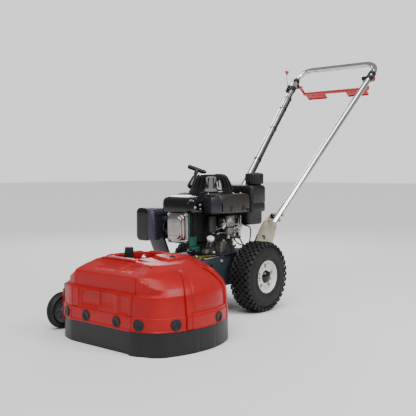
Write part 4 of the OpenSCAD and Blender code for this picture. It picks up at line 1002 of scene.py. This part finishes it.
# ---------------------------------------------------------------- engine
piece("crankcase", [lathe([(0, 265), (86, 265), (87, 266), (87, 275), (85, 277), (74, 277.5), (73, 280),
                           (73, 384), (70, 389), (20, 389), (0, 389)], 72)]
      + [move(box(72, 78, -4, 4, 280, 380, 2), spin(a)) for a in (20, 62, 110, 160, 205, 330)],
      "cast", matrix=shift(0, CRANK_Y, 0), replaces=["engine_block"])
fins = [box(-38, 38, -300, -165, 292, 402, 4)]
for k in range(14):
    y = -300 + k * 7.4
    fins.append(box(-52, 52, y, y + 2.2, 291, 402.5, 1))
piece("cylinder_fins", fins, "cast")
piece("sump", [lathe([(0, 231), (100, 231), (100.5, 232), (100.5, 240), (99, 241), (93, 241.5),
                      (92, 243), (87.5, 262), (86.5, 265), (0, 265)], 80)]
      + [move(lathe([(0, 241), (9, 241), (9, 252), (7, 254), (0, 254)], 20),
              shift(89 * math.cos(math.radians(a)), 89 * math.sin(math.radians(a)), 0))
         for a in (0, 90, 180, 270)] + [move(box(86, 93, -2, 2, 241, 262, 1), spin(a))
                                        for a in range(12, 372, 24)],
      "cast", matrix=shift(0, CRANK_Y, 0), replaces=["oil_pan"])


def cushion(x0, x1, z0, z1, y0, y1, r, bulge=0.0):
    """Rounded plate facing -Y, from y1 (back) to y0 (front), its front pillowed by bulge."""
    bm = bmesh.new()
    ring_pts = []
    for (cx, cz, a0) in [(x1 - r, z1 - r, 0), (x0 + r, z1 - r, 90), (x0 + r, z0 + r, 180),
                         (x1 - r, z0 + r, 270)]:
        for k in range(7):
            a = math.radians(a0 + 15 * k)
            ring_pts.append((cx + r * math.cos(a), cz + r * math.sin(a)))
    mx, mz = (x0 + x1) / 2, (z0 + z1) / 2
    levels = [(1, y1), (1, y0 + 5), (0.985, y0 + 2), (0.95, y0 + 0.4), (0.88, y0 - 0.2 * bulge),
              (0.7, y0 - 0.6 * bulge), (0.4, y0 - 0.9 * bulge)]
    rows = []
    for sc, y in levels:
        rows.append([bm.verts.new((mx + (x - mx) * sc, y, mz + (z - mz) * sc)) for x, z in ring_pts])
    for a, b in zip(rows, rows[1:]):
        for k in range(len(ring_pts)):
            n = (k + 1) % len(ring_pts)
            bm.faces.new((a[k], a[n], b[n], b[k]))
    bm.faces.new(rows[0])
    c = bm.verts.new((mx, y0 - bulge, mz))
    for k in range(len(ring_pts)):
        bm.faces.new((rows[-1][k], rows[-1][(k + 1) % len(ring_pts)], c))
    bmesh.ops.recalc_face_normals(bm, faces=bm.faces)
    return bm


cover = [cushion(-50, 50, 289, 402, -307, -303, 16), cushion(-41, 41, 297, 397, -321, -305, 20, 2.0),
         cushion(-34, 34, 303, 391, -329, -317, 20, 1.4), box(-24, 24, -331, -327, 314, 316.4, 1),
         box(-24, 24, -331, -327, 376, 378.4, 1)]
for x in (-45, 45):
    cover.append(tube([(x, -308, 304), (x, -308, 388)], 3.4, 12))
for x, z in [(-43.5, 296), (43.5, 296), (-43.5, 395), (43.5, 395)]:
    cover.append(move(lathe([(0, 0), (8.4, 0), (8.4, 7), (7, 8), (0, 8)], 24), at(x, -301, z, "y", True)))
piece("rocker_shell", cover, "cover", bevel=0.8, replaces=["rocker_cover"], smooth=45)
piece("rocker_bolts", [move(bolt(8, 5), at(x, -309, z, "y", True)) for x,
                       z in [(-43.5, 296), (43.5, 296), (-43.5, 395), (43.5, 395)]],
      "steel")
piece("baffle_plate", [box(-56, 57, -303, -300.2, 285, 402.5, 1), box(53.4, 57, -301, -262, 271, 312, 1),
                       box(53.4, 66, -300, -262, 262, 274, 3), box(53, 57, -270, -244, 252, 274, 1.5)],
      "teal",
      replaces=["cylinder_baffle"])

# cowl: round over the flywheel with a square, rounded nose
def cowl_outline(d, steps=10):
    """Outline round the nose and the flywheel, d inside the cowl's edge, anticlockwise from the nose's right."""
    hw, ny, r = 88 - d, -312 + d, max(4, 26 - d)
    left = 74 - d
    R = 118 - d
    pts = []
    for k in range(steps + 1):
        a = math.radians(180 + 90 * k / steps)
        pts.append((-hw + r + r * math.cos(a), ny + r + r * math.sin(a)))
    for k in range(steps + 1):
        a = math.radians(270 + 90 * k / steps)
        pts.append((left - r + r * math.cos(a), ny + r + r * math.sin(a)))
    y_l = CRANK_Y - math.sqrt(R * R - left * left)
    a0 = math.atan2(y_l - CRANK_Y, left)
    a1 = math.atan2(-math.sqrt(R * R - hw * hw), -hw)
    n = 44
    for k in range(n + 1):
        a = a0 + (a1 + 2 * math.pi - a0) * k / n
        pts.append((R * math.cos(a), CRANK_Y + R * math.sin(a)))
    return pts


def slope(z):
    """Cowl heights: the nose falls away towards the front."""
    return lambda p: z - 0.00115 * max(0, -205 - p[1]) ** 2 * (z - 430) / 40 if z > 430 else z


cowl = stack([(cowl_outline(1.5), 404), (cowl_outline(0), 406), (cowl_outline(0), 418),
              (cowl_outline(0.5), slope(436)), (cowl_outline(1.5), slope(450)),
              (cowl_outline(4.5), slope(459)), (cowl_outline(9), slope(464)),
              (cowl_outline(15), slope(467)), (cowl_outline(22), slope(469.5)),
              (cowl_outline(34), slope(472)), (cowl_outline(46), slope(473))])
piece("cowl_shell", cowl, "gloss", smooth=45, replaces=["blower_cowl"])
ridge = tube(spline([(64, -300, 446), (66, -270, 458), (68, -235, 468), (84, -196, 471),
                     (104, -150, 470), (112, -100, 468)], 8), 2.6, 10)
ridge2 = tube(spline([(-78, -296, 446), (-80, -262, 458), (-84, -220, 466), (-100, -170, 469),
                      (-110, -110, 469)], 8), 2.6, 10)
piece("cowl_ridges", [ridge, ridge2, move(box(-46, 40, -38, 26, 0, 2.6, 1.2),
                                          shift(0, -252, 463.2) @ spin(10, "X"))],
      "gloss")
piece("cowl_bolts", [move(bolt(8, 4), at(x, y, z, "x")) for x, y,
                     z in [(73, -290, 424), (73, -262, 432), (73, -262, 416), (73, -236, 424)]]
      + [move(bolt(8, 4), at(x, y, z)) for x, y, z in [(66, -205, 470), (100, -92, 470), (96, -40, 470),
                                                       (-92, -60, 470), (-80, -180, 470)]],
      "steel")

# starter dome with radial slots over a mesh, and the guide for the rope
tools = []
for k in range(24):
    a = 15 * k
    if 180 < a < 240:
        continue
    tools.append(move(box(54, 100, -2.6, 2.6, 494, 533, 1.0, 1), spin(a)))
for k in range(20):
    tools.append(move(box(20, 44, -1.6, 1.6, 540, 560, 0.8, 1), spin(18 * k)))
outer_obj = lathe([(92, 469), (93, 473), (92.5, 479), (90, 483), (86, 490), (80, 506), (73, 522),
                   (66, 535), (60, 542), (53, 546.5), (44, 548.6),
                   (30, 549.4), (0, 549.6), (0, 545), (30, 544.8), (43, 544), (50, 541.5), (57, 537),
                   (63, 531), (70, 519), (77, 503), (83, 488),
                   (87, 481), (88, 477), (88, 469), (92, 469)], 96)
bmesh.ops.remove_doubles(outer_obj, verts=outer_obj.verts, dist=0.01)
bmesh.ops.recalc_face_normals(outer_obj, faces=outer_obj.faces)
outer_obj = cut(outer_obj, [join(tools)], "DIFFERENCE")
piece("starter_dome", outer_obj, "gloss", matrix=shift(0, CRANK_Y, 0), smooth=35,
      replaces=["starter_cover"])
piece("starter_screen", lathe([(84, 472), (84, 480), (74, 500), (62, 524), (52, 536), (20, 540),
                               (0, 540)], 60), "black",
      matrix=shift(0, CRANK_Y, 0))
rope = Vector((-0.12, 0.57, 0.81)).normalized()
foot = Vector((-70, -144, 509))
piece("rope_guide", [move(lathe([(3.4, -16), (17, -16), (15.5, 0), (12.5, 16), (10, 30), (8.6, 36),
                                 (7, 38), (3.4, 38), (3.4, -16)], 32), along(foot, rope))],
      "gloss")
piece("pull_rope", tube([foot + rope * -22, foot + rope * 62], 2.1, 10), "black", "starter")
bar_dir = Vector((0.69, 0.62, -0.37))
bar_dir = (bar_dir - rope * bar_dir.dot(rope)).normalized()
c = foot + rope * 70
grip = [move(lathe([(0, 44), (6.4, 44), (7.4, 46), (8.6, 56), (9.4, 64), (9.4, 70), (0, 70)], 28),
             along(foot, rope)),
        tube([c + bar_dir * t for t in (-40.5, -39.4, -37, -33, -22, -10, 0, 10, 22, 33, 37, 39.4, 40.5)],
             9, 24, radii=[3, 6, 8.2, 9.3, 8.7, 9.0, 9.5, 9.0, 8.7, 9.3, 8.2, 6, 3])]
piece("pull_grip", grip, "black", "starter", replaces=["starter_grip"], smooth=60)

# muffler, its guard and the guard below
piece("muffler_can", [cushion(-190, -114, 289, 409, -320, -229, 20, 2),
                      tube([(-116, -262, 369), (-84, -262, 369), (-54, -262, 369)], 13, 20)],
      "heat", replaces=["muffler"], smooth=50)
guard = cut(cushion(-206, -138, 285, 415, -326, -224, 18, 1.5),
            [box(-199, -100, -320, -200, 289.5, 411, 6)], "DIFFERENCE")
guard = cut(guard, [box(-215, -198, -314 + 15 * k, -307 + 15 * k, 318, 386, 2) for k in range(6)],
            "DIFFERENCE")
piece("muffler_cage", guard, "gloss", replaces=["muffler_guard"], smooth=45)
shield = stack([([( -142, -326), (-104, -326), (-100, -322), (-100, -226), (-142, -226)], 292),
                ([(-142, -326), (-112, -328), (-104, -322), (-104, -226), (-142, -226)], 330),
                ([(-142, -326), (-118, -328), (-110, -322), (-110, -226), (-142, -226)], 372),
                ([(-142, -326), (-134, -326), (-128, -322), (-128, -226), (-142, -226)], 411)])
piece("muffler_shield", shield, "heat", bevel=2)
piece("lower_guard", [prism([(-300, 303), (-304, 299), (-268, 226), (-240, 225), (-240, 228),
                             (-262, 230), (-290, 292)], -160, -78, 0.8)], "gloss",
      matrix=Matrix(((0, 0, 1, 0), (1, 0, 0, 0), (0, 1, 0, 0), (0, 0, 0, 1))),
      replaces=["exhaust_deflector"])

# air cleaner: a long case with a sloped, darker front
case = stack([([(76, -206), (128, -206), (132, -202), (132, -36), (128, -30), (92, -30), (76, -60)], 397),
              ([(74, -210), (130, -210), (134, -206), (134, -32), (130, -27), (92, -27), (74, -60)], 402),
              ([(74, -214), (130, -214), (134, -210), (134, -30), (130, -25), (92, -25), (74, -60)], 440),
              ([(76, -212), (128, -212), (132, -208), (132, -32), (128, -27), (92, -27), (76, -60)], 462),
              ([(82, -204), (122, -204), (126, -200), (126, -38), (122, -33), (94, -33), (82, -66)],
               471)])
piece("filter_case", case, "brown", bevel=3, replaces=["air_cleaner"])
nose = stack([([(68, -244), (116, -246), (132, -206), (132, -196), (76, -196)], 398),
              ([(66, -247), (118, -249), (134, -212), (134, -196), (74, -196)], 404),
              ([(66, -247), (118, -249), (134, -214), (134, -196), (74, -196)], 438),
              ([(70, -240), (114, -242), (130, -210), (130, -196), (76, -196)], 462)])
piece("filter_nose", nose, "navy", bevel=3)
piece("filter_clips", [box(118, 136, -150, -138, 404, 424, 2), box(118, 136, -74, -62, 404, 424, 2),
                       move(bolt(8, 4), at(133, -40, 408, "x"))], "black")
piece("filter_knob", [move(lathe([(0, 0), (7, 0), (8, 4), (8, 9), (6, 11), (0, 11)], 20),
                           at(100, -226, 460))], "black")

# fuel tank and cap
def tank_outline(d, right, r=14):
    x0, x1, y0, y1 = -70 + d, right - d, 15 + d, 117 - d
    pts = []
    for cx, cy, a0 in [(x1 - r, y1 - r, 0), (x0 + r, y1 - r, 90), (x0 + r, y0 + r, 180),
                       (x1 - r, y0 + r, 270)]:
        for k in range(9):
            a = math.radians(a0 + 90 * k / 8)
            pts.append((cx + r * math.cos(a), cy + r * math.sin(a)))
    return pts


tank = stack([(tank_outline(12, 95.5), 339), (tank_outline(5, 95.5), 340),
              (tank_outline(1.5, 95.5), 344), (tank_outline(0, 95.5), 350),
              (tank_outline(0, 95.5), 388), (tank_outline(0, 98), 392.5), (tank_outline(0, 108), 394),
              (tank_outline(0, 112), 399),
              (tank_outline(0, 112), 426), (tank_outline(1.4, 112), 427.2),
              (tank_outline(1.4, 112), 430), (tank_outline(0, 112), 431.2),
              (tank_outline(0, 112), 490), (tank_outline(2, 112), 497), (tank_outline(6, 112), 501),
              (tank_outline(14, 112), 503)])
piece("tank_shell", [tank, move(lathe([(0, 500), (31, 500), (29, 504), (27, 506), (27, 518), (0, 518)],
                                      40), shift(80, 75, 0)),
                     box(-24, 24, -24, 20, 350, 358, 2)], "black", smooth=50, replaces=["fuel_tank"])
cap = lathe([(0, 507), (36, 507), (38, 509), (38, 545), (36.6, 549), (33, 551.4), (24, 552), (23, 549.6),
             (0, 549.2)], 192)
for v in cap.verts:
    a = math.atan2(v.co.y, v.co.x)
    if 508 < v.co.z < 550 and math.hypot(v.co.x, v.co.y) > 30:
        k = 1 - 0.05 * max(0, math.cos(20 * a))
        v.co.x *= k
        v.co.y *= k
piece("tank_cap_body", [cap, box(-22, 22, -5, 5, 548, 554, 2)], "black", "tank_cap",
      matrix=shift(80, 75, 0), replaces=["fuel_cap"])

# carburettor, governor linkage, springs and small fittings on the near side
piece("carb_body", [box(80, 112, -146, -96, 342, 388, 4),
                    move(lathe([(0, 305), (6, 305), (6, 309), (18, 311), (21, 315), (21, 338), (16, 341),
                                (0, 341)], 40), shift(96, -119, 0)),
                    move(lathe([(0, 0), (15, 0), (17, 3), (17, 6), (14, 8), (12, 20), (0, 20)], 32),
                         at(96, -165, 363, "y")),
                    move(lathe([(0, 0), (14, 0), (14, 24), (0, 24)], 28), at(70, -115, 361, "x")),
                    box(84, 116, -152, -146, 344, 382, 2)],
      "alloy", bevel=0.8, replaces=["carburettor"])
links = [tube(spline([(106, -205, 336), (109, -180, 342), (112, -140, 351), (112, -96, 352),
                      (106, -64, 346)], 6), 1.5, 8),
         tube(spline([(100, -196, 318), (106, -170, 322), (110, -120, 318), (108, -76, 326)], 6), 1.5, 8),
         coil((108, -176, 352), (110, -118, 360), 4.2, 11, 0.9),
         coil((104, -98, 330), (104, -58, 342), 4.6, 9, 1.0),
         coil((97, -84, 300), (99, -60, 352), 5, 11, 1.1),
         move(prism([(0, -6), (46, -5), (52, 0), (46, 6), (0, 6)], 0, 2.4, 0.6),
              at(110, -172, 340, "x", turn=2.2)),
         move(prism([(0, -5), (40, -4), (44, 0), (40, 4), (0, 5)], 0, 2.4, 0.6),
              at(106, -62, 300, "x", turn=3.0)),
         move(prism([(-8, -8), (30, -12), (36, 0), (30, 14), (-8, 10)], 0, 2.6, 0.8),
              at(102, -58, 320, "x", turn=2.6))]
piece("governor_links", links, "steel")
small = [move(bolt(10, 5), at(74, -196, 352, "x")), move(bolt(10, 5), at(74, -172, 342, "x")),
         move(bolt(8, 4), at(76, -186, 324, "x")),
         move(bolt(11, 5), at(110, -72, 336, "x")), move(lathe([(0, 0), (9, 0), (9, 3), (5, 4), (5, 7),
                                                                (0, 7)], 20), at(112, -132, 372, "x")),
         move(lathe([(0, 0), (7, 0), (7, 12), (0, 12)], 16), at(96, -119, 296)),
         move(bolt(9, 4), at(72, -210, 300, "x")),
         move(bolt(9, 4), at(80, -150, 262, "x")), move(bolt(9, 4), at(84, -60, 262, "x"))]
piece("engine_fittings", small, "steel")
brackets = [box(74, 78, -92, -40, 290, 386, 1.5), box(78, 104, -52, -47, 290, 386, 1.5),
            box(78, 104, -64, -60, 300, 372, 1.5)]
brackets += [box(80, 104, -46.5, -44, 296 + 9 * k, 300 + 9 * k, 0.8) for k in range(10)]
piece("control_plate", brackets, "steel")
piece("side_case", [cushion(-20, 20, 0, 66, -8, 0, 8, 2)], "cast",
      matrix=shift(76, -196, 322) @ spin(90))
piece("filler_neck", [tube(spline([(60, -196, 262), (78, -210, 276), (92, -222, 296)], 6), 10, 18)],
      "alloy")
piece("filler_cap", [move(lathe([(0, 0), (13, 0), (14, 2), (14, 9), (12, 11), (5, 11), (4, 16), (0, 16)],
                                24), along((93, -223, 298), (0.35, -0.35, 0.8)))], "cream")
piece("drain_block", [box(70, 98, -168, -128, 242, 286, 3), box(62, 80, -236, -208, 244, 262, 3)],
      "alloy")
piece("brass_jet", [move(bolt(8, 5), at(96, -150, 290, "x"))], "brass")
piece("breather_hose", tube(spline([(78, -120, 392), (72, -150, 380), (74, -178, 372), (70, -200, 358)],
                                   8), 4.5, 12), "black")
piece("plug_lead", tube(spline([(-90, -287, 325), (-102, -276, 350), (-96, -240, 388), (-84, -206, 404)],
                               8), 3.2, 10), "black")
piece("plug_boot", [tube([(-88, -287, 325), (-78, -287, 325), (-64, -287, 325), (-58, -287, 325)], 9, 16,
                         radii=[7, 9, 9, 7.4])], "black",
      replaces=["spark_plug_cap"])

# ---------------------------------------------------------------- chassis dressing
piece("yellow_stripe", [prism([(20, -250), (44, -252), (66, -232), (88, -100), (90, -30), (78, -18),
                               (64, -60), (40, -200)], 231.0, 231.7, 0)], "yellow")
piece("edge_strip", [box(86.5, 90.6, -253, 6, 225.2, 229, 1)], "steel")
piece("chassis_screws", [move(bolt(12, 5), at(90, y, z, "x")) for y,
                         z in [(-240, 208), (-200, 130), (-150, 208), (110, 205)]], "steel")

for node, m in [("chassis_frame", "chassis"), ("engine_plate", "cast"), ("rear_axle", "steel"),
                ("brush_boom", "chassis"), ("head_plate", "chassis"),
                ("spindle_bearings", "steel"), ("frame_bolts", "steel"), ("drive_belt", "belt"),
                ("support_lug", "chassis"), ("support_slide", "lever_red"),
                ("brush_spindle", "steel"), ("driven_pulley", "cast"), ("brush_disc", "cast"),
                ("crankshaft", "steel"), ("flywheel_fan", "cast"),
                ("drive_pulley", "cast"), ("tensioner_arm", "zinc"), ("idler_pulley", "black"),
                ("control_bracket", "black"), ("handle_bolts", "steel")]:
    cad(node, m)

# ---------------------------------------------------------------- brush
wires = []
for k in range(24):
    a = 2 * math.pi * k / 24
    for w in range(26):
        r0 = 8.2 * math.sqrt(RNG.random())
        t0 = RNG.random() * 2 * math.pi
        lean = 0.26 + 0.09 * math.cos(t0) * r0 / 8
        twist = 0.10 * math.sin(t0) * r0 / 8
        p = Vector((170 + r0 * math.cos(t0), r0 * math.sin(t0), 83))
        ln = 74 + 4 * RNG.random()
        pts = []
        for q in range(5):
            t = q / 4
            pts.append(p + Vector((ln * t * math.sin(lean) + 1.2 * math.sin(9 * t + t0),
                                   ln * t * twist + 1.2 * math.cos(9 * t + t0),
                                   -ln * t * math.cos(lean))))
        wires.append(move(tube(pts, 0.8, 4), Matrix.Rotation(a, 4, "Z")))
    wires.append(move(lathe([(0, 74), (9.4, 74), (10.4, 76), (10.4, 83.4), (0, 83.4)], 20),
                      Matrix.Rotation(a, 4, "Z") @ shift(170, 0, 0)))
    wires.append(move(lathe([(0, 92), (10.6, 92), (10.6, 94), (8, 95.4), (0, 95.4)], 20),
                      Matrix.Rotation(a, 4, "Z") @ shift(170, 0, 0)))
piece("wire_bundles", wires, "wire", "brush", matrix=HEAD, replaces=["brush_wires"])

# ---------------------------------------------------------------- handlebar
SLOPE = math.radians(44.6)
LO, HI, LEN, BEND = 127.0, 225.0, 1066.0, 66.0
TAPER = math.atan((HI - LO) / LEN)
HANDLE = shift(0, 150, 342) @ Matrix.Rotation(SLOPE, 4, "X")


def tube_frame(y, side=1):
    """Place on a handlebar tube: Z up the tube, X away from the machine's middle, Y below the loop."""
    m = shift(LO + y * math.tan(TAPER), y, 0) @ Matrix.Rotation(-TAPER, 4, "Z") @ spin(-90, "X")
    if side < 0:
        m = Matrix.Scale(-1, 4, (1, 0, 0)) @ m
    return HANDLE @ m


side_len = (LEN - BEND * (1 + math.sin(TAPER))) / math.cos(TAPER)
cx, cy = LO + side_len * math.sin(TAPER), side_len * math.cos(TAPER)
bx, by = cx - BEND * math.cos(TAPER), cy + BEND * math.sin(TAPER)
half_loop = [(LO, 0, 0)] + [(LO + side_len * t * math.sin(TAPER), side_len * t * math.cos(TAPER), 0)
                            for t in (0.2, 0.4, 0.6, 0.8, 0.97)]
half_loop += [(bx + BEND * math.cos(a), by + BEND * math.sin(a), 0)
              for a in [-TAPER + (math.pi / 2 + TAPER) * k / 16 for k in range(17)]]
loop_pts = half_loop + [(x, y, 0) for x,
                        y in [(80, by + BEND), (0, by + BEND),
                              (-80, by + BEND)]] + [(-x, y, z) for x, y, z in reversed(half_loop)]
piece("loop_tube", tube(loop_pts, 13.9, 32), "chrome", "handle", matrix=HANDLE, replaces=["handlebar"],
      smooth=60)

PLATE = [(42, 197), (45, 185), (52, 176), (62, 171.5), (72, 171), (84, 174), (94, 181), (116, 204),
         (140, 229), (160, 244), (182, 261),
         (192, 284), (204, 314), (212, 335), (216.5, 346), (217.5, 357), (214, 369), (206, 378),
         (196, 381.5), (184, 381), (172, 379), (158, 373.5), (138, 364),
         (120, 352), (100, 334), (84, 315), (68, 291), (55, 267), (47, 243), (43, 220)]


def slot_shape():
    pts = []
    for k in range(9):
        a = math.radians(44 + 26 * k / 8)
        pts.append((70 + 98 * math.cos(a), 203 + 98 * math.sin(a)))
    for k in range(9):
        a = math.radians(70 - 26 * k / 8)
        pts.append((70 + 86 * math.cos(a), 203 + 86 * math.sin(a)))
    return pts


YZ = Matrix(((0, 0, 1, 0), (1, 0, 0, 0), (0, 1, 0, 0), (0, 0, 0, 1)))
plates = []
for s in (1, -1):
    p = cut(prism(PLATE, 98.1 if s > 0 else -102.9, 102.9 if s > 0 else -98.1, 0.8),
            [prism(slot_shape(), -200, 200, 0)]
            + [move(lathe([(0, -200), (4, -200), (4, 200), (0, 200)], 20), shift(192, 318, 0))],
            "DIFFERENCE")
    plates.append(p)
piece("side_plates", plates, "zinc", "handle", matrix=YZ, replaces=["handle_plates"])
latch = []
for s in (1, -1):
    latch.append(move(box(-30, 16, -4.5, 4.5, 0, 7, 2),
                      Matrix.Scale(s, 4, (1, 0, 0)) @ shift(103, 178, 356) @ spin(90, "Y")
                      @ spin(38)))
piece("plate_clips", latch, "black", "handle")

# cables down the right tube, and over the hinge to the engine
for k, (a, top) in enumerate([(180, 892), (153, 852)]):
    off = Vector((17.2 * math.cos(math.radians(a)), 17.2 * math.sin(math.radians(a)), 0))
    ln = top - 112
    pts = [off + Vector((0.8 * math.sin(t * 9 + k * 2), 0.4 * math.cos(t * 7), ln * t))
           for t in [q / 14 for q in range(15)]]
    if k == 0:
        pts += [off + Vector((6, 0, ln + 14)), off + Vector((8, -6, ln + 24))]
    piece("cable_upper_%d" % (k + 1), tube(pts, 2.7, 10), "black", "handle", matrix=tube_frame(112, -1),
          replaces=["handle_cables"])
ties = []
for y in (190, 390, 610, 760, 842):
    ring = []
    for q in range(28):
        a = 2 * math.pi * q / 28
        r = 15.2 + (5.6 if math.cos(a - math.radians(167)) > 0.72 else 0)
        ring.append((r * math.cos(a), r * math.sin(a), 0))
    ties.append(move(tube(ring, 1.5, 8, closed=True), tube_frame(y, -1)))
piece("cable_ties", ties, "black", "handle")


def hp(y, lx, ly, side=-1):
    return tube_frame(y, side) @ Vector((lx, ly, 0))


for k, (a, route) in enumerate([(180, [(-88, 164, 344), (-78, 142, 306), (-72, 128, 272)]),
                                (153, [(-94, 158, 336), (-84, 134, 296), (-78, 122, 267)])]):
    off = (17.2 * math.cos(math.radians(a)), 17.2 * math.sin(math.radians(a)))
    start = hp(114, *off)
    start2 = hp(100, *off)
    pts = [start, start2, hp(84, off[0] - 3, off[1])] + [Vector(q) for q in route]
    o = piece("cable_bridge_%d" % (k + 1), tube(spline(pts, 8), 2.75, 10), "black", None)
    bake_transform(o)
low_a = [(-72, 128, 272), (-50, 128, 249), (0, 112, 240), (56, 72, 239), (84, 26, 243), (98, -20, 261),
         (101, -60, 301), (98, -92, 347)]
low_b = [(-78, 122, 267), (-74, 108, 243), (-66, 96, 217), (-62, 70, 199), (-64, 0, 195),
         (-72, -120, 195), (-74, -222, 199)]
piece("cable_low_1", [tube(spline(low_a, 8), 2.75, 10), tube(spline(low_b, 8), 2.75, 10)], "black",
      replaces=["lower_cables"])
piece("harness_loop", tube(spline([(60, 30, 338), (98, 22, 330), (106, 14, 296), (104, 4, 262),
                                   (96, -10, 240)], 8), 2.6, 10), "black")

# ---------------------------------------------------------------- bail, throttle and stop
BAIL = shift(0, 842, 996) @ spin(-37, "X")
W = 183
strip = [box(-W, W, 38, 52, -9, -6, 0.9), box(-W, W, 49.4, 52, -9, 8.5, 0.9),
         box(-W, W, 38, 40.4, -9, 2, 0.9)]
for x0 in (-W + 8, W - 124):
    strip.append(box(x0, x0 + 116, 52, 83, -9, -6.2, 0.9))
    strip.append(box(x0 + 4, x0 + 112, 80.6, 83, -13, -6.2, 0.9))
    strip.append(box(x0 + 20, x0 + 96, 54, 76, -6.6, -4.4, 1.2))
for s in (1, -1):
    arm = prism([(-10, -6), (-6, -10), (4, -10), (12, -9), (52, -9), (52, 9), (12, 9), (4, 10), (-6, 10),
                 (-10, 6)], W if s > 0 else -W - 3, W + 3 if s > 0 else -W, 0.7)
    strip.append(move(arm, YZ))
piece("bail_strip", strip, "lever_red", "bail", matrix=BAIL, replaces=["bail_lever"])
piece("bail_pivots", [move(bolt(11, 5), at(s * 179, 842, 996, "x", s > 0)) for s in (1, -1)]
      + [tube([(s * 179, 842, 996), (s * 214, 842, 996)], 3.8, 14) for s in (1, -1)], "steel", "handle")
piece("pivot_ears", [move(prism([(-12, 10), (-14, 30), (-8, 40), (8, 40), (14, 30), (12, 10)], -2, 2,
                                0.8), tube_frame(980, s) @ spin(90, "Y")) for s in (1, -1)], "lever_red",
      "handle")

THR = tube_frame(905, -1)
PIN = THR @ shift(25.4, 0, 12)
piece("throttle_case", [cushion(-16, 16, -13, 36, -5, 5, 6, 1)], "black", "handle",
      matrix=THR @ shift(20, 0, 0) @ spin(90))
lever_m = PIN @ spin(45, "X")
piece("throttle_rod", [move(lathe([(0, 0), (9, 0), (9, 4), (0, 4)], 28), PIN @ spin(90, "Y")),
                       move(tube([(2, 0, 0), (2, 0, 84)], 2, 14), lever_m),
                       move(lathe([(0, -1), (3.2, -1), (3.2, 6), (0, 6)], 14), PIN @ spin(90, "Y"))],
      "steel", "throttle", replaces=["throttle_lever"])
piece("throttle_grip", [move(lathe([(0, 80), (3.6, 80), (5, 84), (6, 92), (0, 92)], 20),
                             lever_m @ shift(2, 0, 0)),
                        move(tube([(2, -13.5, 96), (2, -11, 96), (2, 0, 96), (2, 11, 96), (2, 13.5, 96)],
                                  6, 18, radii=[3.6, 6.2, 5.6, 6.2, 3.6]), lever_m)],
      "lever_red", "throttle", replaces=["throttle_knob"])
STOP = tube_frame(940, 1) @ shift(-16, 0, 9) @ spin(-90, "Y")
piece("stop_cap", lathe([(0, 6.6), (6.8, 6.6), (6.8, 15), (9.4, 15.2), (10, 16.2), (10, 20), (8.6, 21.8),
                         (4, 22.6), (0, 22.8)], 32), "black", "stop_switch",
      matrix=STOP, replaces=["stop_button"])
